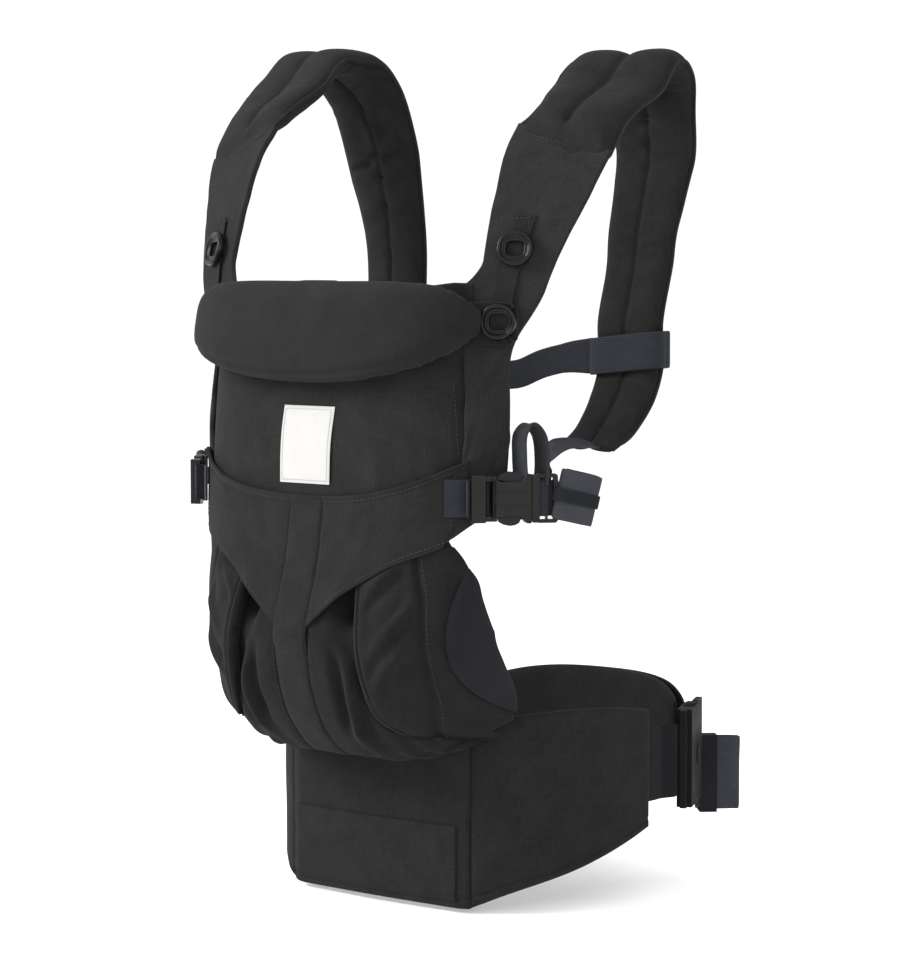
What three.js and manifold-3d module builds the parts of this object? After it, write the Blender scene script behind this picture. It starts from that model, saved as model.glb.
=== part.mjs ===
// A structured soft baby carrier, standing as if it were worn.
// Millimetres, +Z up. The wearer faces -Y, and +X is the wearer's left.
// The origin is the centre of the waist ring, at the middle height of the waist webbing.
import * as THREE from 'three';
import { mergeVertices } from 'three/addons/utils/BufferGeometryUtils.js';
import Module from 'manifold-3d';

const wasm = await Module();
wasm.setup();

// ---------------------------------------------------------------- driving dimensions
const GAP = 0.4; // between sewn neighbours, so that no two solids touch
const RING = 139; // middle radius of the waist ring
const BELT_PAD = 10; // thickness of the padded belt
const WAIST_WEB = 50; // width of the waist webbing
const STRAP_WEB = 25; // width of the shoulder and side webbing
const CROSS_WEB = 20; // width of the cross strap webbing
const WEBBING = 1.6; // thickness of all webbing
const FRONT_HALF = 74.6; // half the width of the flat belt front
const FRONT_FACE = -112; // inner flat face of the belt front, in Y
const STRAP_PAD = 17; // thickness of the shoulder padding
const STRAP_FLAT = 6; // thickness of the unpadded strap base
const BUTTON = 26; // outer diameter of a ring button

// Outer surface of the body, from its lower edge to its top edge.
// Each row: height, depth at the middle, depth at the side edge, half width.
const BODY_ROWS = [
  [7.5, -126, -103, 104],
  [8.5, -150, -105, 108],
  [15, -173, -106, 111],
  [38, -195, -112, 115],
  [70, -207, -129, 119],
  [102, -208, -142, 121.5],
  [145, -196, -143, 126],
  [187, -190, -142, 131],
  [230, -189, -140, 133],
  [275, -185, -139, 131],
  [327, -176, -140, 126],
];
const BODY_BOX = 4.5; // power of the plan curve: higher is squarer
const LIFT = 36; // how much higher the lower edge is at the sides
const POUCH_SIDE = 0.42; // edge of the pouch, as a fraction of the half width
const GUSSET_SIDE = 0.872; // edge of the thigh gusset
const PANEL_LOW = 168; // lower edge of the body panel
const PANEL_TOP = 320;
const WING_TOP = 268; // top of the side wings, where the strap bases start

// ---------------------------------------------------------------- small tools
const point = (x, y, z) => new THREE.Vector3(x, y, z);
const degrees = THREE.MathUtils.degToRad;
const mix = THREE.MathUtils.lerp;
const carrier = new THREE.Group();

const finish = {
  canvas: { color: '#333231', roughness: 0.95 },
  pillow: { color: '#37363c', roughness: 0.95 },
  lining: { color: '#35343b', roughness: 0.95 },
  webbing: { color: '#32343c', roughness: 0.8 },
  plastic: { color: '#1b1918', roughness: 0.3 },
  elastic: { color: '#26272b', roughness: 0.9 },
  label: { color: '#f1efea', roughness: 0.7 },
};

function node(name, geometry, look, parent = carrier) {
  const material = new THREE.MeshStandardMaterial({ ...finish[look], metalness: 0 });
  const mesh = new THREE.Mesh(geometry, material);
  mesh.name = name;
  parent.add(mesh);
  return mesh;
}

function mirrored(geometry) {
  const copy = geometry.clone();
  copy.scale(-1, 1, 1);
  const index = copy.getIndex().array;
  for (let i = 0; i < index.length; i += 3) {
    [index[i], index[i + 1]] = [index[i + 1], index[i]];
  }
  return copy;
}

function pair(name, geometry, look) {
  node(`${name}_L`, geometry, look);
  node(`${name}_R`, mirrored(geometry), look);
}

function welded(geometry) {
  const bare = geometry.clone();
  bare.deleteAttribute('normal');
  bare.deleteAttribute('uv');
  return mergeVertices(bare, 1e-4);
}

function signedVolume(geometry) {
  const at = geometry.getAttribute('position');
  const index = geometry.getIndex().array;
  const [a, b, c] = [point(), point(), point()];
  let volume = 0;
  for (let i = 0; i < index.length; i += 3) {
    a.fromBufferAttribute(at, index[i]);
    b.fromBufferAttribute(at, index[i + 1]);
    c.fromBufferAttribute(at, index[i + 2]);
    volume += a.dot(b.cross(c));
  }
  return volume;
}

// A closed solid through section rings. Each ring has the same even number of points, and point i
// lies across the section from point n - 1 - i, so both ends close as ladders.
function loft(rings) {
  const n = rings[0].length;
  const geometry = new THREE.BufferGeometry().setFromPoints(rings.flat());
  const index = [];
  const quad = (a, b, c, d) => index.push(a, b, c, a, c, d);
  for (let r = 0; r + 1 < rings.length; r++) {
    for (let i = 0; i < n; i++) {
      const j = (i + 1) % n;
      quad(r * n + i, r * n + j, (r + 1) * n + j, (r + 1) * n + i);
    }
  }
  const last = (rings.length - 1) * n;
  for (let i = 0; i + 1 < n / 2; i++) {
    const [near, far] = [i + 1, n - 2 - i];
    quad(i, n - 1 - i, far, near);
    quad(last + i, last + near, last + far, last + n - 1 - i);
  }
  geometry.setIndex(index);
  if (signedVolume(geometry) < 0) {
    geometry.setIndex(index.reverse());
  }
  return geometry;
}

function solid(geometry) {
  const mesh = welded(geometry);
  const vertProperties = new Float32Array(mesh.getAttribute('position').array);
  const triVerts = new Uint32Array(mesh.getIndex().array);
  return new wasm.Manifold(new wasm.Mesh({ numProp: 3, vertProperties, triVerts }));
}

function fromSolid(manifold) {
  const mesh = manifold.getMesh();
  const geometry = new THREE.BufferGeometry();
  geometry.setAttribute('position', new THREE.BufferAttribute(mesh.vertProperties, 3));
  geometry.setIndex(new THREE.BufferAttribute(mesh.triVerts, 1));
  return geometry;
}

const subtract = (body, ...tools) => fromSolid(tools.reduce((s, t) => s.subtract(solid(t)), solid(body)));
const unite = (...bodies) => fromSolid(bodies.slice(1).reduce((s, b) => s.add(solid(b)), solid(bodies[0])));

function box(x0, x1, y0, y1, z0, z1) {
  const geometry = new THREE.BoxGeometry(x1 - x0, y1 - y0, z1 - z0);
  return geometry.translate((x0 + x1) / 2, (y0 + y1) / 2, (z0 + z1) / 2);
}

function roundedShape(x0, x1, y0, y1, radius) {
  const shape = new THREE.Shape();
  shape.moveTo(x0 + radius, y0);
  shape.lineTo(x1 - radius, y0);
  shape.absarc(x1 - radius, y0 + radius, radius, -Math.PI / 2, 0);
  shape.absarc(x1 - radius, y1 - radius, radius, 0, Math.PI / 2);
  shape.absarc(x0 + radius, y1 - radius, radius, Math.PI / 2, Math.PI);
  shape.absarc(x0 + radius, y0 + radius, radius, Math.PI, 1.5 * Math.PI);
  return shape;
}

function plate(shape, z0, z1) {
  const options = { depth: z1 - z0, bevelEnabled: false, curveSegments: 3 };
  return new THREE.ExtrudeGeometry(shape, options).translate(0, 0, z0);
}

// A flat sleeve, open at both ends along Z.
function sleeve(width, thickness, wall, height) {
  const [w, t] = [width / 2, thickness / 2];
  const shape = roundedShape(-w - wall, w + wall, -t - wall, t + wall, wall);
  shape.holes.push(roundedShape(-w, w, -t, t, wall / 2));
  return welded(plate(shape, -height / 2, height / 2));
}

// A group whose local X, Y and Z are along, up and their cross product.
function groupAt(origin, along, up) {
  const group = new THREE.Group();
  const basis = new THREE.Matrix4().makeBasis(along, up, along.clone().cross(up));
  group.position.copy(origin);
  group.quaternion.setFromRotationMatrix(basis);
  carrier.add(group);
  return group;
}

// A flat band that follows a route. across(s) is its width direction and width(s), thickness(s) its
// section, for s from 0 to 1. The section's edges are rounded off when padded.
function band(route, count, across, width, thickness, padded) {
  const steps = padded ? [[-1, 0.35], [-0.86, 0.9], [-0.4, 1], [0.4, 1], [0.86, 0.9], [1, 0.35]] : [[-1, 1], [1, 1]];
  const rings = [];
  for (let i = 0; i <= count; i++) {
    const s = i / count;
    const side = across(s).normalize();
    const face = route.getTangentAt(s).cross(side).normalize();
    const [w, t] = [width(s) / 2, thickness(s) / 2];
    const at = (u, v) => route.getPointAt(s).addScaledVector(side, u * w).addScaledVector(face, v * t);
    rings.push([...steps.map(([u, v]) => at(u, v)), ...steps.map(([u, v]) => at(u, -v)).reverse()]);
  }
  return loft(rings);
}

// A ribbon of webbing through corner points in the local XZ plane, as wide as the webbing along Y.
function foldedWebbing(corners, width) {
  const rings = corners.map(([x, z], i) => {
    const [before, after] = [corners[Math.max(i - 1, 0)], corners[Math.min(i + 1, corners.length - 1)]];
    const into = new THREE.Vector2(x - before[0], z - before[1]).normalize();
    const out = new THREE.Vector2(after[0] - x, after[1] - z).normalize();
    const along = into.clone().add(out).normalize();
    const mitre = i === 0 || i === corners.length - 1 ? 1 : 1 / Math.max(along.dot(out), 0.5);
    const [dx, dz] = [-along.y * WEBBING * 0.5 * mitre, along.x * WEBBING * 0.5 * mitre];
    return [
      point(x + dx, -width / 2, z + dz),
      point(x + dx, width / 2, z + dz),
      point(x - dx, width / 2, z - dz),
      point(x - dx, -width / 2, z - dz),
    ];
  });
  return loft(rings);
}

// ---------------------------------------------------------------- body surface
const bodyRows = new THREE.CubicInterpolant(BODY_ROWS.map((_, i) => i), BODY_ROWS.flat(), 4);
const bodyRow = (u) => [...bodyRows.evaluate(THREE.MathUtils.clamp(u, 0, BODY_ROWS.length - 1))];

// The row parameter at a given nominal height.
function rowAt(height) {
  let [low, high] = [0, BODY_ROWS.length - 1];
  for (let i = 0; i < 30; i++) {
    const middle = (low + high) / 2;
    if (bodyRow(middle)[0] < height) low = middle;
    else high = middle;
  }
  return (low + high) / 2;
}

function bodyPoint(u, t) {
  const [height, middle, side, half] = bodyRow(u);
  const fade = 1 - THREE.MathUtils.smoothstep(height, 12, 110);
  const y = mix(middle, side, Math.abs(t) ** BODY_BOX);
  return point(half * t, y, height + LIFT * t ** 4 * fade);
}

// A point of the body skin, sunk inwards by a depth.
function skin(u, t, depth) {
  const step = 0.01;
  const acrossSkin = bodyPoint(u, t + step).sub(bodyPoint(u, t - step));
  const upSkin = bodyPoint(u + step, t).sub(bodyPoint(u - step, t));
  const inward = upSkin.cross(acrossSkin).normalize();
  return bodyPoint(u, t).addScaledVector(inward, depth);
}

// A piece of the body shell between two fractions of the width. low(t) and high(t) are its heights,
// and its depths and its second side may change with v, which goes from 0 at its low edge to 1.
function shell({ t0, t1, columns, low, high, rows, outer, inner }) {
  const rings = [];
  for (let r = 0; r <= rows; r++) {
    const v = r / rows;
    const row = (depth) => Array.from({ length: columns + 1 }, (_, c) => {
      const t = mix(t0, typeof t1 === 'function' ? t1(v) : t1, c / columns);
      return skin(mix(rowAt(low(t)), rowAt(high(t)), v), t, depth);
    });
    rings.push([...row(outer), ...row(typeof inner === 'function' ? inner(v) : inner).reverse()]);
  }
  return loft(rings);
}

const wingStep = (t) => THREE.MathUtils.smoothstep(Math.abs(t), 0.76, 0.84);
node('front_panel', shell({
  t0: -1, t1: 1, columns: 26, rows: 6, outer: 3, inner: 14,
  low: () => PANEL_LOW,
  high: (t) => mix(PANEL_TOP, WING_TOP, wingStep(t)),
}), 'canvas');

const vTop = (t) => 187 + 25 * Math.abs(t / GUSSET_SIDE) ** 2.6;
const vLow = (t) => 98 + 60 * Math.sin(Math.abs(t / GUSSET_SIDE) * Math.PI / 2) ** 1.2;
node('v_panel', shell({
  t0: -GUSSET_SIDE, t1: GUSSET_SIDE, columns: 18, rows: 6, outer: 0, inner: 2, low: vLow, high: vTop,
}), 'canvas');

node('seat_pouch', shell({
  t0: -POUCH_SIDE, t1: POUCH_SIDE, columns: 8, rows: 10, outer: 3, inner: 13,
  low: () => BODY_ROWS[0][0], high: () => PANEL_LOW - GAP,
}), 'canvas');

pair('thigh_gusset', shell({
  t0: POUCH_SIDE + 0.006, t1: GUSSET_SIDE, columns: 6, rows: 8, outer: 3, inner: 13,
  low: () => BODY_ROWS[1][0], high: () => PANEL_LOW - GAP,
}), 'canvas');

pair('leg_pad', shell({
  t0: GUSSET_SIDE + 0.008, t1: (v) => mix(0.985, 0.9, v ** 1.6), columns: 4, rows: 8, outer: 1,
  inner: (v) => mix(15, 7, v ** 2),
  low: () => BODY_ROWS[1][0], high: () => 148,
}), 'lining');

function makeLabel() {
  const [width, height, thickness, lift] = [44, 51, 0.8, 1.2];
  const rings = [-1, -0.5, 0, 0.5, 1].map((side) => {
    const x = side * width / 2;
    const at = (z, depth) => skin(rowAt(z), x / 132, depth);
    const [z0, z1] = [220 - height / 2, 220 + height / 2];
    return [at(z0, lift), at(z1, lift), at(z1, lift + thickness), at(z0, lift + thickness)];
  });
  return loft(rings);
}
node('label', makeLabel(), 'label');

// ---------------------------------------------------------------- head support
const PILLOW_HALF = 115;
const PILLOW_TOP = 327;
const PILLOW_TALL = 59;
const PILLOW_THICK = 20;

// The folded pillow hangs in front of the body panel and follows its plan curve.
function pillow() {
  const section = [[0, 0.12], [0.03, 0.5], [0.2, 0.95], [0.5, 1], [0.85, 0.9], [0.97, 0.5], [1, 0.12]];
  const rings = [];
  const columns = 14;
  for (let c = 0; c <= columns; c++) {
    const t = mix(-1, 1, c / columns);
    const x = PILLOW_HALF * Math.sin(t * Math.PI / 2);
    const round = Math.sqrt(Math.max(1 - Math.abs(x / PILLOW_HALF) ** 6, 0.2));
    const back = (z) => skin(rowAt(Math.min(z, PANEL_TOP)), x / 132, 3).y - 1.5;
    const tall = PILLOW_TALL * mix(0.55, 1, round);
    const middle = PILLOW_TOP - PILLOW_TALL / 2;
    const at = (s, depth) => {
      const z = middle + tall * (s - 0.5);
      return point(x, back(z) - depth, z);
    };
    const front = section.map(([s, v]) => at(s, PILLOW_THICK * round * v));
    const rear = section.map(([s]) => at(s, 0)).reverse();
    rings.push([...front, ...rear]);
  }
  return loft(rings);
}
node('head_support', pillow(), 'pillow');

// ---------------------------------------------------------------- shoulder straps
// The middle line of the left strap: up from the side wing, over the shoulder, and down the back,
// where it is straight so that the cross strap can slide on it.
const STRAP_LINE = [
  [123, -142, 270], [124.5, -140.5, 298], [127, -138, 321], [131, -130, 350], [135.5, -118, 381],
  [139, -106, 407], [140.5, -86, 432], [141, -53, 452], [140, -30, 470], [135.5, -8, 464],
  [128, 8, 446], [121, 18, 418], [112, 22, 385], [105.5, 22, 352], [105, 22, 300],
  [105, 22, 250], [103.5, 10, 233], [101, -8, 222],
];
const BASE_END = 6; // index of the point where the padding starts
const STRAIGHT = { x: 105, y: 22, low: 250, high: 350 };

function between(values, s) {
  const at = s * (values.length - 1);
  const i = Math.min(Math.floor(at), values.length - 2);
  return mix(values[i], values[i + 1], at - i);
}

const route = (points) => new THREE.CatmullRomCurve3(points.map(([x, y, z]) => point(x, y, z)), false, 'centripetal');
const turned = (angle) => point(Math.cos(degrees(angle)), Math.sin(degrees(angle)), 0);

const SHOULDER_LIFT = 10; // the right strap arches this much higher than the left
const lifted = (geometry) => {
  const at = geometry.getAttribute('position');
  for (let i = 0; i < at.count; i++) {
    at.setZ(i, at.getZ(i) + SHOULDER_LIFT * THREE.MathUtils.smoothstep(at.getZ(i), 390, 480));
  }
  return geometry;
};

function strapPair(name, geometry, look) {
  node(`${name}_L`, geometry, look);
  node(`${name}_R`, lifted(mirrored(geometry)), look);
}

const baseRoute = route(STRAP_LINE.slice(0, BASE_END + 1));
strapPair('strap_base', band(
  baseRoute, 10, (s) => turned(mix(25, 20, s)), (s) => between([30, 33, 42, 54, 63, 67], s), () => STRAP_FLAT, false,
), 'canvas');

const padRoute = route([[140.5, -84.5, 433.6], ...STRAP_LINE.slice(BASE_END + 1)]);
strapPair('shoulder_pad', band(
  padRoute, 30, (s) => turned(between([20, 19, 14, 6, 0, 0, 0, 0, 0, 0], s)),
  (s) => between([69, 71, 71, 66, 61, 56, 54, 54, 54, 46], s),
  (s) => between([STRAP_PAD, STRAP_PAD, STRAP_PAD, STRAP_PAD, STRAP_PAD, STRAP_PAD, STRAP_PAD, STRAP_PAD, 9], s), true,
), 'canvas');

// ---------------------------------------------------------------- ring buttons on the strap bases
const BUTTON_SPOTS = { lower: [0.176, 8.6], upper: [0.44, 5.4] }; // place along the base, height off its middle
const baseSide = (s) => turned(mix(25, 20, s));
const baseOut = (s) => baseSide(s).cross(baseRoute.getTangentAt(s)).normalize();

function ringButton(neck) {
  const [r, rim] = [BUTTON / 2, 2.6];
  const profile = [
    [0, 0], [r - 1, 0], [r, 1], [r, 3.2], [r - 1, 4.4], [r - rim, 4.4], [r - rim - 1, 2.8], [0, 2.8],
  ].map(([x, y]) => new THREE.Vector2(x, y));
  const disc = new THREE.LatheGeometry(profile, 28).rotateX(Math.PI / 2);
  const half = point(6.6, 1.5, 0);
  const windows = [-1, 1].map((side) => box(-half.x, half.x, side * 3 - half.y, side * 3 + half.y, -1, 6));
  const slotted = subtract(disc, ...windows);
  if (!neck) return slotted;
  return unite(slotted, box(-2.5, 2.5, -3, 3, -neck, 0.5));
}

function buttonGroup(spot, side) {
  const [s, offset] = BUTTON_SPOTS[spot];
  const hand = point(side === 'L' ? 1 : -1, 1, 1);
  const at = baseRoute.getPointAt(s).addScaledVector(baseOut(s), offset).multiply(hand);
  const up = baseRoute.getTangentAt(s).multiply(hand);
  return groupAt(at, up.clone().cross(baseOut(s).multiply(hand)).normalize(), up);
}

const TAB = { inner: -11, outer: 17, tall: 41, thick: 2.6, hole: 5 };
for (const side of ['L', 'R']) {
  const sign = side === 'L' ? 1 : -1;
  node(`head_button_upper_${side}`, ringButton(0), 'plastic', buttonGroup('upper', side));
  const lower = buttonGroup('lower', side);
  node(`head_button_lower_${side}`, ringButton(3.2), 'plastic', lower);
  const [x0, x1] = [TAB.inner, TAB.outer].map((x) => x * sign).sort((a, b) => a - b);
  const shape = roundedShape(x0, x1, -TAB.tall / 2, TAB.tall / 2, 9);
  shape.holes.push(new THREE.Path().absarc(0, 0, TAB.hole, 0, 2 * Math.PI, true));
  node(`head_tab_${side}`, welded(plate(shape, -TAB.thick - GAP, -GAP)), 'pillow', lower);
}

pair('button_webbing', band(
  route([0.11, 0.25, 0.4, 0.57].map((s) => {
    return baseRoute.getPointAt(s).addScaledVector(baseOut(s), 4.2).toArray();
  })), 8, (s) => baseSide(mix(0.11, 0.57, s)), () => 12, () => 1.2, false,
), 'webbing');

// ---------------------------------------------------------------- side-release buckles
// In a buckle's own frame the plug pulls out along +X, Y runs across the webbing and Z faces out.
// The socket's mouth is at X = 0.
function buckleSizes(web) {
  return {
    web,
    half: web * 0.72 - 2.3,
    thick: 8 + web / 20,
    socket: 26 + web / 2,
    plug: 10 + web * 0.3,
    wall: 1.9,
    bar: 3.4,
    slot: 3.8,
    prong: 16 + web * 0.22,
    press: 1.6,
  };
}

function socketShape({ web, half, thick, socket, wall, bar, slot, prong }) {
  const body = plate(roundedShape(-socket, 0, -half, half, 3), -thick / 2, thick / 2);
  const neck = socket - bar - slot - 2.5;
  const tools = [
    box(-neck, 1, -half + wall, half - wall, -thick / 2 + wall, thick / 2 - wall),
    box(-prong - 1.5, -6, half - 4, half + 1, -thick / 2 + wall, thick / 2 - wall),
    box(-prong - 1.5, -6, -half - 1, -half + 4, -thick / 2 + wall, thick / 2 - wall),
    box(-socket + bar, -socket + bar + slot, -web / 2 - 0.8, web / 2 + 0.8, -thick, thick),
    box(-socket - 1, -neck - 2, -half - 1, half + 1, 2.1, thick),
    box(-socket - 1, -neck - 2, -half - 1, half + 1, -thick, -2.1),
  ];
  return subtract(body, ...tools);
}

function plugShape({ web, half, thick, plug, wall, bar, slot }) {
  const tongue = box(-12, 1, -web * 0.11, web * 0.11, -1.6, 1.6);
  const collar = plate(roundedShape(GAP, 4.4, -half + 0.4, half - 0.4, 1), -thick / 2 + 0.3, thick / 2 - 0.3);
  const frame = plate(roundedShape(3.4, plug, -half, half, 2), -2, 2);
  const ladder = box(4.4 + bar * 0.4, 4.4 + bar * 0.4 + slot, -web / 2 - 0.8, web / 2 + 0.8, -3, 3);
  const outer = box(plug - bar - slot + 0.6, plug - bar + 0.6, -web / 2 - 0.8, web / 2 + 0.8, -3, 3);
  return subtract(unite(tongue, collar, frame), ladder, outer);
}

// One sprung prong, on the +Y side. Its pressing pad fills the window in the socket's side wall.
function prongShape({ half, thick, wall, prong, press }) {
  const outline = new THREE.Shape();
  const inner = half - wall - 3.6;
  outline.moveTo(-0.6, inner);
  outline.lineTo(-0.6, half - wall - 0.6);
  outline.lineTo(-6.6, half - wall - 0.6);
  outline.quadraticCurveTo(-7.5, half + press, -prong * 0.65, half + press);
  outline.quadraticCurveTo(-prong, half + press * 0.4, -prong - 0.6, half - wall - 1.5);
  outline.quadraticCurveTo(-prong * 0.8, inner + 1.2, -prong * 0.45, inner);
  const depth = thick / 2 - wall - 0.4;
  return welded(plate(outline, -depth, depth));
}

// Webbing sewn round the socket's end bar, as corner points in the XZ plane.
function barLoop({ socket, bar, slot }, tail) {
  const [behind, through, over] = [-3.6, -socket + bar + slot / 2, 3.6];
  return [[-socket - tail, behind], [through, behind], [through, over], [-socket - 3, over]];
}

function buckle(prefix, web, origin, along, up, suffix) {
  const sizes = buckleSizes(web);
  const group = groupAt(origin, along, up);
  const upper = up.z > 0 ? ['top', 'low'] : ['low', 'top'];
  node(`${prefix}_female${suffix}`, socketShape(sizes), 'plastic', group);
  node(`${prefix}_male${suffix}`, plugShape(sizes), 'plastic', group);
  const prong = prongShape(sizes);
  node(`${prefix}_prong_${upper[0]}${suffix}`, prong, 'plastic', group);
  node(`${prefix}_prong_${upper[1]}${suffix}`, prong.clone().rotateX(Math.PI), 'plastic', group);
  return { group, sizes };
}

// ---------------------------------------------------------------- side buckles
const SIDE_MOUTH = point(146.5, -138.5, 189); // mouth of the left socket
const SIDE_TURN = 50; // direction in which the left plug pulls out

for (const [suffix, sign] of [['_L', 1], ['_R', -1]]) {
  const origin = SIDE_MOUTH.clone().multiply(point(sign, 1, 1));
  const along = turned(SIDE_TURN).multiply(point(sign, 1, 1));
  const { group, sizes } = buckle('side', STRAP_WEB, origin, along, point(0, 0, sign), suffix);
  node(`buckle_tab${suffix}`, foldedWebbing(barLoop(sizes, 2.4), STRAP_WEB - 1), 'webbing', group);
  const roll = new THREE.Group();
  roll.position.set(sizes.plug + 17.8, 0, 1.5);
  roll.rotation.z = degrees(-16 * sign);
  group.add(roll);
  const tail = plate(roundedShape(-13, 12, -16, 16, 4), -4.5, 4.5);
  const groove = sleeve(24, 8.2, 4, 9.4).rotateX(Math.PI / 2).translate(-0.5, 0, 0);
  node(`webbing_tail${suffix}`, subtract(tail, groove), 'webbing', roll);
  node(`tail_keeper${suffix}`, sleeve(26.4, 10, 1.1, 8.6).rotateX(Math.PI / 2).translate(-0.5, 0, 0), 'elastic', roll);
}

// Webbing from the lower end of the strap, twisting on its way to the plug.
const STRAP_WEB_LINE = [[100.5, -11.5, 219.5], [106, -32, 221], [113, -54, 221], [126, -85, 215], [141, -108, 205], [154, -121, 197]];
pair('strap_webbing', band(
  route(STRAP_WEB_LINE), 12, (s) => point(1 - s, 0.2 * s, s ** 1.5), () => STRAP_WEB - 1, () => WEBBING, false,
), 'webbing');

// ---------------------------------------------------------------- cross strap
const SLEEVE = { z: 277, tall: 25, room: 2.2, wall: 2 };
const sleeveShape = sleeve(54 + 2 * SLEEVE.room, STRAP_PAD + 2 * SLEEVE.room, SLEEVE.wall, SLEEVE.tall);
pair('cross_sleeve', sleeveShape.translate(STRAIGHT.x, STRAIGHT.y, SLEEVE.z), 'canvas');

const CROSS_MOUTH = point(-31, 26, 259);
buckle('cross', CROSS_WEB, CROSS_MOUTH, point(1, 0, 0), point(0, 0, 1), '');
const crossSizes = buckleSizes(CROSS_WEB);
const sleeveEdge = STRAIGHT.x - 27 - SLEEVE.room - SLEEVE.wall - GAP;
const vertical = () => point(0, 0, 1);
node('cross_webbing_L', band(
  route([[sleeveEdge, 22, 274], [55, 23, 267], [25, 25, 261], [CROSS_MOUTH.x + crossSizes.plug + 1.2, 26, 259]]),
  10, vertical, () => CROSS_WEB, () => WEBBING, false,
), 'webbing');
node('cross_webbing_R', band(
  route([[-sleeveEdge, 22, 266], [CROSS_MOUTH.x - crossSizes.socket - 1.2, 25, 260]]),
  3, vertical, () => CROSS_WEB, () => WEBBING, false,
), 'webbing');

// ---------------------------------------------------------------- waist belt
// A piece of the waist ring between two angles. low(a) and high(a) are its edges at an angle.
function ringPiece(from, to, count, inner, outer, low, high) {
  const rings = [];
  for (let i = 0; i <= count; i++) {
    const angle = mix(from, to, i / count);
    const out = turned(angle);
    const at = (radius, z) => out.clone().multiplyScalar(radius).setZ(z);
    rings.push([at(inner, low(angle)), at(outer, low(angle)), at(outer, high(angle)), at(inner, high(angle))]);
  }
  return loft(rings);
}

const BELT_LOW = -86;
const BELT_TOP = 34;
const WING = { from: -56.3, to: -1 };

function beltFront() {
  const rings = [];
  for (let i = 0; i <= 8; i++) {
    const x = mix(-FRONT_HALF, FRONT_HALF, i / 8);
    const crown = BELT_PAD + 3 * (1 - (x / FRONT_HALF) ** 2);
    const top = mix(20, BELT_TOP, (x / FRONT_HALF) ** 2);
    rings.push([
      point(x, FRONT_FACE, BELT_LOW), point(x, FRONT_FACE - crown, BELT_LOW),
      point(x, FRONT_FACE - crown, top), point(x, FRONT_FACE, top),
    ]);
  }
  return loft(rings);
}
node('belt_front', beltFront(), 'canvas');

function adjustPatch() {
  const rings = [];
  for (let i = 0; i <= 8; i++) {
    const x = mix(-70, 70, i / 8);
    const face = FRONT_FACE - BELT_PAD - 3 * (1 - (x / FRONT_HALF) ** 2) - GAP;
    rings.push([point(x, face, BELT_LOW + 3), point(x, face - 1.2, BELT_LOW + 3), point(x, face - 1.2, -33), point(x, face, -33)]);
  }
  return loft(rings);
}
node('belt_adjust_patch', adjustPatch(), 'canvas');

const wingLow = (a) => mix(BELT_LOW, -35, ((a - WING.from) / (WING.to - WING.from)) ** 0.95);
const wingTop = (a) => 43.5 - 0.9 * ((a + 25) / 10) ** 2;
pair('belt_wing', ringPiece(
  WING.from, WING.to, 12, RING - BELT_PAD / 2, RING + BELT_PAD / 2, wingLow, wingTop,
), 'canvas');

// ---------------------------------------------------------------- waist buckle and webbing
const WAIST_TURN = 27; // angle of the buckle on the ring
const WAIST_RADIUS = 143;
const waistOut = turned(WAIST_TURN);
const waistAlong = turned(WAIST_TURN + 90);
const waist = buckle(
  'waist', WAIST_WEB, waistOut.clone().multiplyScalar(WAIST_RADIUS).addScaledVector(waistAlong, 12), waistAlong,
  point(0, 0, 1), '',
);

// The child-safe button sits in a round hole in the socket's outer wall.
const SAFETY = { x: -15, radius: 7, room: 0.5, proud: 0.9, travel: 1.2 };
const safetyHole = new THREE.CylinderGeometry(SAFETY.radius + SAFETY.room, SAFETY.radius + SAFETY.room, 10, 28);
safetyHole.rotateX(Math.PI / 2).translate(SAFETY.x, 0, waist.sizes.thick / 2 + 2);
const waistSocket = waist.group.children.find((mesh) => mesh.name === 'waist_female');
waistSocket.geometry = subtract(waistSocket.geometry, safetyHole);
const safetyButton = new THREE.CylinderGeometry(SAFETY.radius - 0.6, SAFETY.radius, 2.6, 28);
safetyButton.rotateX(Math.PI / 2).translate(SAFETY.x, 0, waist.sizes.thick / 2 + SAFETY.proud - 1.3);
node('waist_safety_button', welded(safetyButton), 'plastic', waist.group);

const flatEdge = (z) => () => z;
const webArc = (from, to, count) => ringPiece(
  from, to, count, RING - WEBBING / 2, RING + WEBBING / 2, flatEdge(-WAIST_WEB / 2), flatEdge(WAIST_WEB / 2),
);
const socketAngle = WAIST_TURN - THREE.MathUtils.radToDeg(Math.atan2(waist.sizes.socket - 12 + 1.5, WAIST_RADIUS));
const plugAngle = WAIST_TURN + THREE.MathUtils.radToDeg(Math.atan2(waist.sizes.plug + 12 + 1.5, WAIST_RADIUS));
node('waist_webbing_L', webArc(WING.to + 0.3, socketAngle, 3), 'webbing');
node('waist_webbing_R', webArc(plugAngle, 180 - WING.to - 0.3, 34), 'webbing');

// The back pad has a flat tunnel through which the webbing runs.
const LUMBAR = { from: 47, to: 133, inner: 127, outer: 142.5, tunnel: 1.7 };
const lumbarHalf = (a) => mix(42, 28.5, Math.abs((a - 90) / 43) ** 3);
const lumbarBlock = ringPiece(
  LUMBAR.from, LUMBAR.to, 22, LUMBAR.inner, LUMBAR.outer, (a) => -lumbarHalf(a), lumbarHalf,
);
const tunnel = ringPiece(
  LUMBAR.from - 2, LUMBAR.to + 2, 34, RING - LUMBAR.tunnel, RING + LUMBAR.tunnel,
  flatEdge(-WAIST_WEB / 2 - 1.2), flatEdge(WAIST_WEB / 2 + 1.2),
);
node('lumbar_pad', subtract(lumbarBlock, tunnel), 'canvas');

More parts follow.
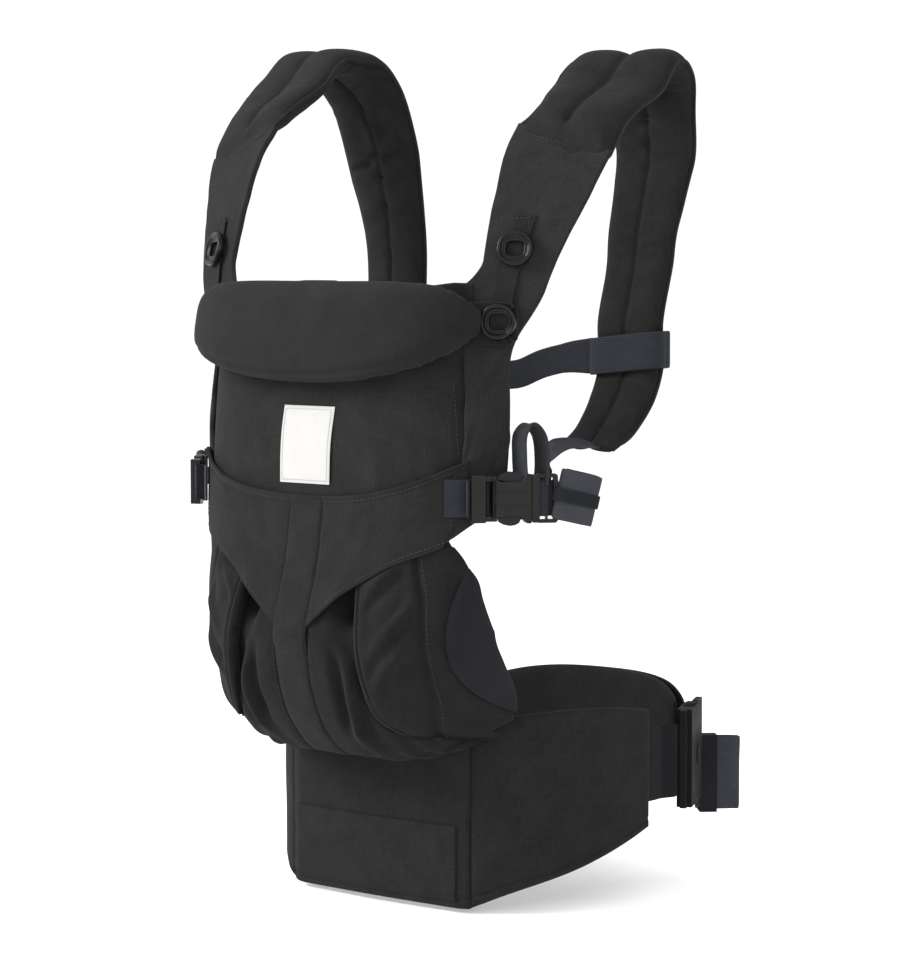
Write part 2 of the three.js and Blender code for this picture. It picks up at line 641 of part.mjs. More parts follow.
// The free end of the waist webbing is rolled up and held by an elastic loop.
const tailGroup = groupAt(turned(45).multiplyScalar(146).setZ(-22), turned(45), point(0, 0, 1));
const waistTail = plate(roundedShape(0, 31, -26, 26, 3), -4.5, 4.5);
const tailGroove = sleeve(50.6, 7.8, 4, 12.8).rotateX(Math.PI / 2).rotateZ(Math.PI / 2).translate(9, 0, 0);
node('waist_tail', subtract(waistTail, tailGroove), 'webbing', tailGroup);
const waistKeeper = sleeve(53, 10, 1.1, 12).rotateX(Math.PI / 2).rotateZ(Math.PI / 2).translate(9, 0, 0);
node('waist_keeper', waistKeeper, 'elastic', tailGroup);

export default carrier;
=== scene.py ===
import itertools
import math

import bpy
import numpy as np
from mathutils import Matrix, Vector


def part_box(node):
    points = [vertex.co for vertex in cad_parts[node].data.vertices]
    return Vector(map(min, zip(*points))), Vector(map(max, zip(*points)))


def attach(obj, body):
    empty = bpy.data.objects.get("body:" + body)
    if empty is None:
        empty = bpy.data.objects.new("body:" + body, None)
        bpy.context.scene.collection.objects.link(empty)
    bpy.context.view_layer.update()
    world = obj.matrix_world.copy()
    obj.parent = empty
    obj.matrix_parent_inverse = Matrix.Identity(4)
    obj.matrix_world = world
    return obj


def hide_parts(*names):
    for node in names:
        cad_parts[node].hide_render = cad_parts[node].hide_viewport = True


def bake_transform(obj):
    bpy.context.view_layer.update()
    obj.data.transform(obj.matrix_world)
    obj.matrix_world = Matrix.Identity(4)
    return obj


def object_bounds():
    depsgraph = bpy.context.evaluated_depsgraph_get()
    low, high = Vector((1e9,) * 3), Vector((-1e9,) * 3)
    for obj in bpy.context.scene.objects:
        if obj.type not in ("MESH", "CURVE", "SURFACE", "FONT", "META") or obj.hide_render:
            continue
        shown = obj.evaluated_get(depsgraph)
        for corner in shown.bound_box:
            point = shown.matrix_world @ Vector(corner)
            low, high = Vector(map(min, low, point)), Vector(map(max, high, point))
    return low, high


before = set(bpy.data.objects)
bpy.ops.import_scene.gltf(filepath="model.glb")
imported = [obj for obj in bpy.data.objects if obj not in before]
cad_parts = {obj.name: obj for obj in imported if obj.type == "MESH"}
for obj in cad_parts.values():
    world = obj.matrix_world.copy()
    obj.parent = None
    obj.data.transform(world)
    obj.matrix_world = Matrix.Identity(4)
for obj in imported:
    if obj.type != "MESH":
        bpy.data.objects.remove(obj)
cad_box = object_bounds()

# A soft baby carrier, as cloth, padding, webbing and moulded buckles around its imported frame.
# Shapes are worked out in millimetres and become metres when a mesh is made.
MM = 0.001
RING = 139.0  # middle radius of the waist ring
WEBBING = 1.6  # thickness of all webbing
WAIST_WEB = 50.0
STRAP_WEB = 25.0
SKIN_DEPTH = 3.0  # the body cloth lies this deep, and the V panel on top of it
SIDES = (("_L", 1), ("_R", -1))
UP = np.array([0.0, 0.0, 1.0])

# Outer surface of the body: height, depth at the middle, depth at the side edge, half width.
BODY_ROWS = np.array([
    [7.5, -126, -103, 104],
    [8.5, -150, -105, 108],
    [15, -173, -106, 111],
    [38, -195, -112, 115],
    [70, -207, -129, 119],
    [102, -208, -142, 121.5],
    [145, -196, -143, 126],
    [187, -190, -142, 131],
    [230, -189, -140, 133],
    [275, -185, -139, 131],
    [327, -176, -140, 126],
])
BODY_BOX = 4.5
LIFT = 26.0
GUSSET_SIDE = 0.872
PANEL_TOP = 325.0

# Middle line of the left shoulder strap, from the side wing over the shoulder and down the back.
STRAP_LINE = np.array([
    [123, -142, 270], [124.5, -140.5, 298], [127, -138, 321], [131, -130, 350], [135.5, -118, 381],
    [139, -106, 407], [140.5, -86, 432], [141, -53, 452], [140, -30, 470], [135.5, -8, 464],
    [128, 8, 446], [121, 18, 418], [112, 22, 385], [105.5, 22, 352], [105, 22, 300],
    [105, 22, 250], [103.5, 10, 233], [101, -8, 222],
], float)
BASE_END = 6


# ---------------------------------------------------------------- numbers
def mix(a, b, s):
    return a + (b - a) * s


def smoothstep(x, low, high):
    s = np.clip((np.asarray(x, float) - low) / (high - low), 0, 1)
    return s * s * (3 - 2 * s)


def bump(x, middle, reach):
    return np.exp(-((np.asarray(x, float) - middle) / reach) ** 2)


def hump(x, a, b, c, d):
    """Rises from 0 at a to 1 at b, and falls from 1 at c to 0 at d."""
    return smoothstep(x, a, b) * (1 - smoothstep(x, c, d))


def dome(u, edge, shape=0.5):
    """1 at the middle and 0 where u is -1 or 1. A higher edge makes it flatter inside."""
    return np.maximum(1 - abs(u) ** edge, 0) ** shape


def power(value, exponent):
    """A power of the size of a value, with the value's sign."""
    return np.sign(value) * abs(value) ** exponent


def stacked(*parts):
    return np.stack(parts, axis=-1)


def between(values, s):
    return np.interp(s, np.linspace(0, 1, len(values)), values)


def curve(knots, x):
    """A smooth curve through (place, value) knots, flat past its ends."""
    places, values = np.array(sorted(knots), float).T
    slopes = np.gradient(values, places)
    x = np.clip(x, places[0], places[-1])
    i = np.clip(np.searchsorted(places, x) - 1, 0, len(places) - 2)
    step = places[i + 1] - places[i]
    s = (x - places[i]) / step
    a = values[i] + slopes[i] * step * s * (1 - s) ** 2 - 3 * values[i] * s**2 + 2 * values[i] * s**3
    return a + (3 * s**2 - 2 * s**3) * values[i + 1] - slopes[i + 1] * step * s**2 * (1 - s)


def noise(points, size, seed=0):
    """Smooth noise from -1 to 1, with lumps about size millimetres across."""
    table = np.random.default_rng(seed).uniform(-1, 1, 4096)
    place = np.asarray(points, float) / size
    cell = np.floor(place).astype(np.int64)
    part = place - cell
    part = part * part * (3 - 2 * part)
    total = 0
    for corner in itertools.product((0, 1), repeat=3):
        key = ((cell + np.array(corner)) @ np.array([73856093, 19349663, 83492791])) & 4095
        total += table[key] * np.prod(np.where(corner, part, 1 - part), axis=-1)
    return total


def unit(vectors):
    return vectors / np.maximum(np.linalg.norm(vectors, axis=-1, keepdims=True), 1e-9)


def square_to(side, tangent):
    """The part of a direction that is square to a tangent."""
    return unit(side - tangent * np.sum(side * tangent, axis=-1, keepdims=True))


def run_of(points):
    """How far along a line each of its points lies."""
    return np.concatenate([[0], np.cumsum(np.linalg.norm(np.diff(points, axis=0), axis=1))])


def points_at(places, run, points):
    """Points between a line's points, which lie at the distances run along it."""
    return stacked(*(np.interp(places, run, points[:, k]) for k in range(3)))


def turned(degrees):
    a = np.radians(degrees)
    return stacked(np.cos(a), np.sin(a), np.zeros_like(a))


def spread(count, pull=0.75):
    """Places from 0 to 1, closer together near both ends."""
    t = np.linspace(0, 1, count)
    return t - pull * np.sin(2 * np.pi * t) / (2 * np.pi)


# ---------------------------------------------------------------- materials
def nodes_of(material):
    material.use_nodes = True
    tree = material.node_tree
    return tree, tree.nodes["Principled BSDF"]


def link(tree, a, b):
    tree.links.new(a, b)


def put(made, **sockets):
    """Set a node's own sockets. An underscore stands for a space in a socket's name."""
    for name, value in sockets.items():
        made.inputs[name.replace("_", " ")].default_value = value


def texture(tree, kind, coordinates, **sockets):
    made = tree.nodes.new(kind)
    link(tree, coordinates, made.inputs["Vector"])
    put(made, **sockets)
    return made


def scaled(tree, source, scale):
    mapping = tree.nodes.new("ShaderNodeMapping")
    mapping.inputs["Scale"].default_value = scale
    link(tree, source, mapping.inputs["Vector"])
    return mapping.outputs["Vector"]


def calculate(tree, operation, first, second):
    made = tree.nodes.new("ShaderNodeMath")
    made.operation = operation
    for socket, value in zip(made.inputs, (first, second)):
        if isinstance(value, (int, float)):
            socket.default_value = value
        else:
            link(tree, value, socket)
    return made.outputs[0]


def ramp(tree, factor, dark, light, low=0.3, high=0.7):
    made = tree.nodes.new("ShaderNodeValToRGB")
    for element, position, colour in zip(made.color_ramp.elements, (low, high), (dark, light)):
        element.position = position
        element.color = (*colour, 1)
    link(tree, factor, made.inputs["Fac"])
    return made.outputs["Color"]


def bumped(tree, shader, height, distance, strength):
    made = tree.nodes.new("ShaderNodeBump")
    put(made, Strength=strength, Distance=distance)
    link(tree, height, made.inputs["Height"])
    link(tree, made.outputs["Normal"], shader.inputs["Normal"])


def shade(colour, factor):
    return tuple(c * factor for c in colour)


def cloth(name, colour, thread, sheen, slub=0.16, ribs=0.0):
    """Woven cloth. The mesh's cloth attribute holds metres across and along it, and the thread's pitch is
    in metres. Ribs, if any, run along the cloth at that pitch."""
    material = bpy.data.materials.new(name)
    tree, shader = nodes_of(material)
    attribute = tree.nodes.new("ShaderNodeAttribute")
    attribute.attribute_name = "cloth"
    flat = attribute.outputs["Vector"]
    threads = scaled(tree, flat, (1 / thread, 1 / thread, 1 / thread))
    waves = []
    for direction in "XY":
        wave = texture(tree, "ShaderNodeTexWave", threads, Scale=0.5, Distortion=0.6, Detail=1.0)
        wave.bands_direction = direction
        waves.append(wave.outputs["Fac"])
    weave = calculate(tree, "MULTIPLY", *waves)
    grains = []
    for scale, detail in (((90, 900, 90), 3.0), ((900, 90, 90), 3.0), ((45, 45, 45), 4.0)):
        grain = texture(tree, "ShaderNodeTexNoise", scaled(tree, flat, scale), Scale=1.0, Detail=detail)
        grains.append(grain.outputs["Fac"])
    slubs, warps, mottle = grains
    uneven = calculate(tree, "ADD", calculate(tree, "ADD", slubs, warps), mottle)
    uneven = calculate(tree, "MULTIPLY", uneven, 1 / 3)
    base = ramp(tree, uneven, shade(colour, 1 - slub), shade(colour, 1 + slub), 0.4, 0.6)
    link(tree, base, shader.inputs["Base Color"])
    height = calculate(tree, "ADD", weave, calculate(tree, "MULTIPLY", uneven, 1.4))
    if ribs:
        across = scaled(tree, flat, (1 / ribs, 0, 0))
        lines = texture(tree, "ShaderNodeTexWave", across, Scale=0.31, Distortion=0.0)
        height = calculate(tree, "ADD", height, calculate(tree, "MULTIPLY", lines.outputs["Fac"], 3.0))
    bumped(tree, shader, height, 0.0002, 0.55)
    put(shader, Roughness=0.95, Specular_IOR_Level=0.09, Sheen_Weight=sheen, Sheen_Roughness=0.45)
    return material


def plastic(name, colour, roughness, specular=0.16):
    """Moulded plastic with a fine texture and slightly uneven gloss."""
    material = bpy.data.materials.new(name)
    tree, shader = nodes_of(material)
    place = tree.nodes.new("ShaderNodeTexCoord").outputs["Object"]
    grain = texture(tree, "ShaderNodeTexNoise", place, Scale=2600.0, Detail=2.0).outputs["Fac"]
    wear = texture(tree, "ShaderNodeTexNoise", place, Scale=60.0, Detail=1.0).outputs["Fac"]
    link(tree, ramp(tree, wear, shade(colour, 0.9), shade(colour, 1.1)), shader.inputs["Base Color"])
    gloss = ramp(tree, wear, (roughness * 0.9,) * 3, (roughness * 1.15,) * 3)
    link(tree, gloss, shader.inputs["Roughness"])
    bumped(tree, shader, grain, 0.00003, 0.2)
    put(shader, Specular_IOR_Level=specular)
    return material


CANVAS = cloth("canvas", (0.0128, 0.0125, 0.0123), 0.0006, 0.02, slub=0.22)
# Painted shade: a darker copy of the canvas for the thigh gussets, whose low parts face down and sit in
# shade.
SHADED = cloth("painted shade seat canvas", (0.0108, 0.0105, 0.0103), 0.0006, 0.02, slub=0.22)
# Painted shade: a still darker copy of the canvas for the seat pouch, darkened for the shade it sits in.
SHADED_POUCH = cloth("painted shade pouch canvas", (0.0088, 0.0086, 0.0084), 0.0006, 0.02, slub=0.22)
# Painted light: a lighter copy of the canvas for the left strap base, which faces the key lamp.
LIT_STRAP_CANVAS = cloth("painted light strap canvas", (0.0160, 0.0156, 0.0155), 0.0006, 0.02, slub=0.22)
PILLOW = cloth("pillow cloth", (0.0118, 0.0114, 0.0122), 0.0004, 0.03, slub=0.14)
LINING = cloth("leg cloth", (0.0105, 0.0102, 0.0130), 0.0004, 0.04, slub=0.10)
WEB = cloth("webbing", (0.0190, 0.0205, 0.0255), 0.0007, 0.05, slub=0.12, ribs=0.0016)
# Painted shade: a darker copy of the webbing for the waist webbing, which lies in the buckle's shadow.
SHADED_WEB = cloth("painted shade waist webbing", (0.0080, 0.0084, 0.0098), 0.0007, 0.03, slub=0.12, ribs=0.0016)
# Painted light: a lighter copy of the webbing for the rolled tails.
LIT_ROLLED_WEB = cloth("painted light rolled webbing", (0.0360, 0.0380, 0.0450), 0.0007, 0.05, slub=0.12, ribs=0.0016)
ELASTIC = cloth("elastic", (0.0130, 0.0135, 0.0160), 0.0005, 0.03, slub=0.12, ribs=0.0011)
THREAD = cloth("thread", (0.034, 0.034, 0.035), 0.0002, 0.05)
WHITE_THREAD = cloth("label thread", (0.34, 0.335, 0.32), 0.0002, 0.05)
LABEL = cloth("label cloth", (0.44, 0.435, 0.425), 0.0003, 0.05, slub=0.03)
BLACK = plastic("buckle plastic", (0.0085, 0.0080, 0.0075), 0.30)
MATTE = plastic("matt buckle plastic", (0.0085, 0.0082, 0.0080), 0.55, 0.03)
GLOSS = plastic("button plastic", (0.007, 0.007, 0.0073), 0.16)


# ---------------------------------------------------------------- meshes
def placed(made, body, *nodes):
    """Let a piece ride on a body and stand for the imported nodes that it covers."""
    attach(made, body)
    if nodes:
        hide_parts(*nodes)
    return made


def added(name, mesh, material):
    """A new object with one material."""
    mesh.materials.append(material)
    made = bpy.data.objects.new(name, mesh)
    bpy.context.scene.collection.objects.link(made)
    return made


def shade_smooth(mesh):
    mesh.polygons.foreach_set("use_smooth", np.ones(len(mesh.polygons), bool))


def lay_cloth(mesh, flat):
    """Record each point's place on the cloth, given in millimetres, for the woven materials."""
    full = np.zeros((len(mesh.vertices), 3), np.float32)
    full[:, :2] = np.asarray(flat, float).reshape(-1, 2) * MM
    attribute = mesh.attributes.get("cloth") or mesh.attributes.new("cloth", "FLOAT_VECTOR", "POINT")
    attribute.data.foreach_set("vector", full.ravel())


def new_mesh(name, points, faces, material, flat=None):
    """A smooth mesh of quads from points in millimetres, which flat places on the cloth."""
    points = np.asarray(points, float).reshape(-1, 3)
    a, b, c, d = (points[faces[:, k]] for k in range(4))
    if np.sum(a * (np.cross(b, c) + np.cross(c, d))) < 0:
        faces = faces[:, ::-1]
    mesh = bpy.data.meshes.new(name)
    mesh.from_pydata((points * MM).tolist(), [], faces.tolist())
    shade_smooth(mesh)
    if flat is not None:
        lay_cloth(mesh, flat)
    return added(name, mesh, material)


def lengths(grid):
    """Each grid point's distance across and along the cloth."""
    across = np.zeros(grid.shape[:2])
    along = np.zeros(grid.shape[:2])
    across[:, 1:] = np.cumsum(np.linalg.norm(np.diff(grid, axis=1), axis=2), axis=1)
    along[1:] = np.cumsum(np.linalg.norm(np.diff(grid, axis=0), axis=2), axis=0)
    return stacked(across - across.mean(axis=1, keepdims=True), along)


def normals(grid, away=None):
    made = unit(np.cross(np.gradient(grid, axis=1), np.gradient(grid, axis=0)))
    if away is not None and np.sum(made * (grid - np.asarray(away, float))) < 0:
        made = -made
    return made


def quads(rows, columns, start=0):
    i = np.arange(rows - 1)[:, None] * columns + np.arange(columns - 1) + start
    return stacked(i, i + 1, i + columns + 1, i + columns).reshape(-1, 4)


def tube_faces(rows, count):
    """Faces between rings of count points each."""
    i = np.arange(rows - 1)[:, None] * count
    j = np.arange(count)[None, :]
    after = (j + 1) % count
    return stacked(i + j, i + after, i + after + count, i + j + count).reshape(-1, 4)


def two_sided(name, front, back, material):
    """A closed piece between two grids of the same size."""
    rows, columns = front.shape[:2]
    count = rows * columns
    edge = np.concatenate([
        np.arange(columns), np.arange(1, rows) * columns + columns - 1,
        (rows - 1) * columns + np.arange(columns - 2, -1, -1), np.arange(rows - 2, 0, -1) * columns,
    ])
    after = np.roll(edge, -1)
    rim = stacked(after, edge, edge + count, after + count)
    faces = np.concatenate([quads(rows, columns), quads(rows, columns, count)[:, ::-1], rim])
    flat = lengths(front)
    return new_mesh(name, [front, back], faces, material, [flat, flat])


def edge_drop(grid, roll, start=0, stop=0):
    """How far in a round edge is at each grid point, from 1 at the edges to 0 a roll away from them. The
    side edges at the grid's start and stop can count as further off."""
    across, along = np.moveaxis(lengths(grid), -1, 0)
    near = np.minimum.reduce([
        across - across[:, :1] + start, across[:, -1:] - across + stop, along - along[:1], along[-1:] - along,
    ])
    return 1 - np.sqrt(1 - (1 - np.clip(near / roll, 0, 1)) ** 2)


def rolled(grid, normal, thick, roll):
    """Front and back grids of a cloth with its edges rolled round."""
    drop = edge_drop(grid, roll) * thick / 2
    return grid - normal * drop[..., None], grid - normal * (thick - drop)[..., None]


def sheet_piece(name, grid, thick, material, away, roll=None):
    """A piece of cloth whose outer face is the grid, and turns away from a point."""
    front, back = rolled(grid, normals(grid, away), thick, roll or thick / 2)
    return two_sided(name, front, back, material)


def lofted(name, rings, material):
    """A closed piece through section rings, with its ends closed by shrinking rings."""
    first, last = rings[0].mean(axis=0), rings[-1].mean(axis=0)
    shrinking = (0.7, 0.35, 0.02)
    start = [mix(first, rings[0], share) for share in shrinking[::-1]]
    end = [mix(last, rings[-1], share) for share in shrinking]
    rings = np.array([*start, *rings, *end])
    rows, count = rings.shape[:2]
    flat = lengths(np.concatenate([rings, rings[:, :1]], axis=1))[:, :-1]
    ladder = np.array([[k, k + 1, count - 2 - k, count - 1 - k] for k in range(count // 2 - 1)])
    faces = np.concatenate([tube_faces(rows, count), ladder[:, ::-1], ladder + (rows - 1) * count])
    return new_mesh(name, rings, faces, material, flat)


def band(name, line, side, width, thick, material, across=12):
    """A flat band with rounded edges along a line. Its width lies along side, one for all or one a point."""
    tangent = unit(np.gradient(line, axis=0))
    side = square_to(side, tangent)
    face = np.cross(side, tangent)
    u = spread(across, 0.5) * 2 - 1
    v = np.sqrt(np.maximum(1 - abs(u) ** 12, 0.02))
    u, v = np.concatenate([u, u[::-1]])[:, None], np.concatenate([v, -v[::-1]])[:, None]
    wide, deep = (np.broadcast_to(size, len(line))[:, None, None] / 2 for size in (width, thick))
    return lofted(name, line[:, None] + side[:, None] * u * wide + face[:, None] * v * deep, material)


def ring_mesh(name, grid, material):
    """A closed ring whose sections are the grid's rows, joined end to end both ways."""
    rows, columns = grid.shape[:2]
    return new_mesh(name, grid, tube_faces(rows + 1, columns) % (rows * columns), material)


def prism(outline, low, high):
    """Points and faces of a plate with an outline in x and y, between two heights."""
    outline = np.asarray(outline, float)
    count = len(outline)
    points = [[x, y, z] for z in (low, high) for x, y in outline]
    faces = [list(range(count))[::-1], list(range(count, 2 * count))]
    for k in range(count):
        after = (k + 1) % count
        faces.append([k, after, after + count, k + count])
    return points, faces


def plate(x0, x1, y0, y1, z0, z1):
    return prism([[x0, y0], [x1, y0], [x1, y1], [x0, y1]], z0, z1)


def assembled(name, parts, place, material, bevel):
    """One moulded piece from several plates, in a frame's own axes, with rounded edges."""
    points, faces = [], []
    for part_points, part_faces in parts:
        faces += [[k + len(points) for k in face] for face in part_faces]
        points += part_points
    if np.linalg.det(place.axes) < 0:
        faces = [face[::-1] for face in faces]
    mesh = bpy.data.meshes.new(name)
    mesh.from_pydata((place.at(points) * MM).tolist(), [], faces)
    return rounded(added(name, mesh, material), bevel, 3)


def rounded(made, bevel, segments):
    """Round a moulded piece's sharp edges."""
    edge = made.modifiers.new("edge", "BEVEL")
    edge.width = bevel * MM
    edge.segments = segments
    edge.limit_method = "ANGLE"
    edge.angle_limit = math.radians(32)
    edge.use_clamp_overlap = True
    shade_smooth(made.data)
    made.modifiers.new("normals", "WEIGHTED_NORMAL").keep_sharp = True
    return made


def mesh_points(made):
    points = np.empty(3 * len(made.data.vertices))
    made.data.vertices.foreach_get("co", points)
    return points.reshape(-1, 3) / MM


def move_points(made, points):
    made.data.vertices.foreach_set("co", (points * MM).ravel())
    made.data.update()


def applied(made):
    """Replace a piece's mesh by what its modifiers make of it."""
    evaluated = made.evaluated_get(bpy.context.evaluated_depsgraph_get())
    mesh = bpy.data.meshes.new_from_object(evaluated)
    made.modifiers.clear()
    made.data = mesh


def puffed(made, voxel, pressure, cap, give=(1, 1, 1)):
    """Swell a closed piece by a short cloth simulation. No point moves further than the cap, and give is
    the share of the movement that is kept along each axis."""
    even = made.modifiers.new("even", "REMESH")
    even.mode = "VOXEL"
    even.voxel_size = voxel * MM
    applied(made)
    start = mesh_points(made)
    cloth_settings = made.modifiers.new("swell", "CLOTH").settings
    cloth_settings.use_pressure = True
    cloth_settings.uniform_pressure_force = pressure
    cloth_settings.effector_weights.gravity = 0
    for step in range(1, 21):
        bpy.context.scene.frame_set(step)
    applied(made)
    bpy.context.scene.frame_set(1)
    moved = (mesh_points(made) - start) * give
    far = np.linalg.norm(moved, axis=1, keepdims=True)
    move_points(made, start + moved * np.minimum(1, cap / np.maximum(far, 1e-6)))
    made.modifiers.new("fine", "SUBSURF").levels = 1
    applied(made)
    shade_smooth(made.data)


def stitches(name, lines, pitch=3.1, long=2.2, thick=0.5, material=THREAD):
    """Rows of topstitching. Each line is (points, normals) along a seam."""
    around, along = 6, 5
    angles = 2 * math.pi * np.arange(around) / around
    s, angle = np.meshgrid(np.linspace(-1, 1, along), angles, indexing="ij")
    radius = thick / 2 * np.sqrt(np.maximum(1 - abs(s) ** 3, 0.08))
    body = stacked(s * long / 2, radius * np.cos(angle), radius * np.sin(angle) - 0.25 * thick * s * s)
    body = body.reshape(-1, 3)
    ends = np.array([[0, 1, 2, 3], [0, 3, 4, 5]])
    faces = np.concatenate([tube_faces(along, around), ends[:, ::-1], ends + (along - 1) * around])
    rows = []
    for line, normal in lines:
        run = run_of(line)
        places = np.arange(pitch / 2, run[-1], pitch)
        out = unit(points_at(places, run, normal))
        tangent = unit(points_at(places, run, np.gradient(line, run, axis=0)))
        side = unit(np.cross(out, tangent))
        rows.append(points_at(places, run, line)[:, None] + tangent[:, None] * body[:, :1]
                    + side[:, None] * body[:, 1:2] + out[:, None] * (body[:, 2:] + 0.1 * thick))
    points = np.concatenate(rows)
    faces = faces + np.arange(len(points))[:, None, None] * len(body)
    points = points.reshape(-1, 3)
    return new_mesh(name, points, faces.reshape(-1, 4), material, points[:, :2])


# ---------------------------------------------------------------- body surface
def body_row(u):
    """The body rows at a row number, with a smooth curve between them."""
    last = len(BODY_ROWS) - 1
    i = np.clip(np.floor(u).astype(int), 0, last - 1)
    p = (u - i)[..., None]
    inner, outer = i[..., None] > 0, i[..., None] < last - 1
    before = np.where(inner, BODY_ROWS[np.maximum(i - 1, 0)], BODY_ROWS[1])
    after = np.where(outer, BODY_ROWS[np.minimum(i + 2, last)], BODY_ROWS[last - 1])
    w0, w1 = np.where(inner, 0.5, -0.5), np.where(outer, 0.5, -0.5)
    p2, p3 = p * p, p * p * p
    return (before * (-w0 * p3 + 2 * w0 * p2 - w0 * p)
            + BODY_ROWS[i] * ((1 + w0) * p3 - (1.5 + 2 * w0) * p2 - (0.5 - w0) * p + 1)
            + BODY_ROWS[i + 1] * ((-1 - w1) * p3 + (1.5 + w1) * p2 + 0.5 * p)
            + after * (w1 * p3 - w1 * p2))


ROW_STEPS = np.linspace(0, len(BODY_ROWS) - 1.001, 2000)
ROW_HEIGHTS = body_row(ROW_STEPS)[:, 0]


def lift_fade(height):
    """How much of the hem's lift towards its sides is left at a height."""
    return 1 - smoothstep(height, 12, 110)


def body_point(u, t):
    height, middle, side, half = np.moveaxis(body_row(u), -1, 0)
    y = mix(middle, side, abs(t) ** BODY_BOX)
    return stacked(half * t, y, height + LIFT * t**4 * lift_fade(height))


def skin(height, t, depth=0.0):
    """Points of the body skin at nominal heights and fractions of the half width, sunk by a depth."""
    height, t = np.broadcast_arrays(np.asarray(height, float), np.asarray(t, float))
    u = np.interp(height, ROW_HEIGHTS, ROW_STEPS)
    step = 0.01
    across = body_point(u, t + step) - body_point(u, t - step)
    up = body_point(np.minimum(u + step, ROW_STEPS[-1]), t) - body_point(np.maximum(u - step, 0), t)
    inward = unit(np.cross(up, across))
    return body_point(u, t) + inward * np.asarray(depth)[..., None]


def skin_out(height, t):
    """The body skin's outward normal."""
    return unit(skin(height, t, -1.0) - skin(height, t, 0.0))


def half_width(height):
    return body_row(np.interp(height, ROW_HEIGHTS, ROW_STEPS))[..., 3]


EDGE_ROWS = np.linspace(BODY_ROWS[0, 0], BODY_ROWS[-1, 0], 600)
EDGE_HEIGHTS = EDGE_ROWS + LIFT * lift_fade(EDGE_ROWS)
EDGE_WIDTHS = half_width(EDGE_ROWS)


def edge_half(z):
    """The half width of the body's side edge at a height."""
    return np.interp(z, EDGE_HEIGHTS, EDGE_WIDTHS)


def nominal(x, z):
    """The row height and the fraction of the half width of the skin point at a place (x, z)."""
    x, z = np.broadcast_arrays(np.asarray(x, float), np.asarray(z, float))
    height = z
    for _ in range(12):
        t = x / half_width(height)
        height = mix(height, z - LIFT * t**4 * lift_fade(height), 0.7)
    height = np.maximum(height, BODY_ROWS[0, 0])
    return height, x / half_width(height)


def along_skin(cloth_surface, places):
    """A seam line on one of the body's cloth surfaces, with its normals. Places are (x, z) pairs."""
    x, z = np.array(places, float).T
    steps = np.linspace(0, 1, len(x))
    fine = np.linspace(0, 1, 160)
    height, t = nominal(curve(list(zip(steps, x)), fine), curve(list(zip(steps, z)), fine))
    return cloth_surface(t, height), skin_out(height, t)


# ---------------------------------------------------------------- body cloth
def v_top(x):
    return 187 + 25 * abs(x / 114) ** 2.6


def v_low(x):
    return curve([(0, 97), (10.6, 101), (30, 115.5), (51.7, 131), (78, 146), (95, 153), (108, 159)], abs(x))


# Edges and seams beside the legs, as (height, distance from the middle) knots. The two LEG edges are the
# leg pad's inner and outer ones.
GUSSET_EDGE = [
    (10, 104), (27, 102), (29, 97), (31, 88), (33, 76), (37, 69), (43, 63.5), (51, 60), (65, 57.5), (84, 55),
    (110, 52), (133, 48), (170, 43),
]
LEG_EDGE = [
    (36, 119), (40, 115.5), (44, 112), (50, 109), (57, 107), (72, 105), (92, 105), (124, 109), (138, 112.5),
    (144, 114),
]
LEG_OUT = [(36, 119), (49, 119), (76, 121), (97, 121.5), (123, 119.5), (138, 117.5), (144, 115)]
GUSSET_OUT = [(20, 112), (42, 115), (60, 118), (110, 117), (128, 117), (140, 116), (150, 113), (162, 106)]
GUSSET_SEAM = [(20, 88), (38, 88), (59, 93), (92, 95), (124, 94), (146, 89), (170, 84)]


def gusset_edge(z):
    return curve(GUSSET_EDGE, z)


def panel_cloth(t, z):
    base = skin(z, t, 0.0)
    x = base[..., 0]
    out = -SKIN_DEPTH + 1.3 * noise(base, 46, 1) + 0.6 * noise(base, 17, 2)
    out += 1.3 * bump(x - 0.25 * (z - 220), 62, 9) * bump(z, 216, 26)
    out -= 1.6 * bump(abs(x), 108, 7) * smoothstep(z, 180, 260)
    out -= 2.2 * smoothstep(abs(t), 0.80, 0.86)
    return skin(z, t, -out)


def vee_cloth(t, z):
    base = skin(z, t, 0.0)
    x = base[..., 0]
    low = v_low(x)
    out = 0.2 + 0.9 * noise(base, 40, 3) + 0.4 * noise(base, 13, 4)
    out += 3.0 * bump(abs(x), 40, 15) * (1 - smoothstep(z, low, low + 34))
    out -= 0.9 * bump(abs(x), 14, 1.0) + 0.5 * bump(abs(x), 14, 4)
    out += 1.2 * bump(v_top(x) - z, 0, 2.5)
    out -= 0.5 * bump(v_top(x) - z, 5.5, 1.4)
    return skin(z, t, -out)


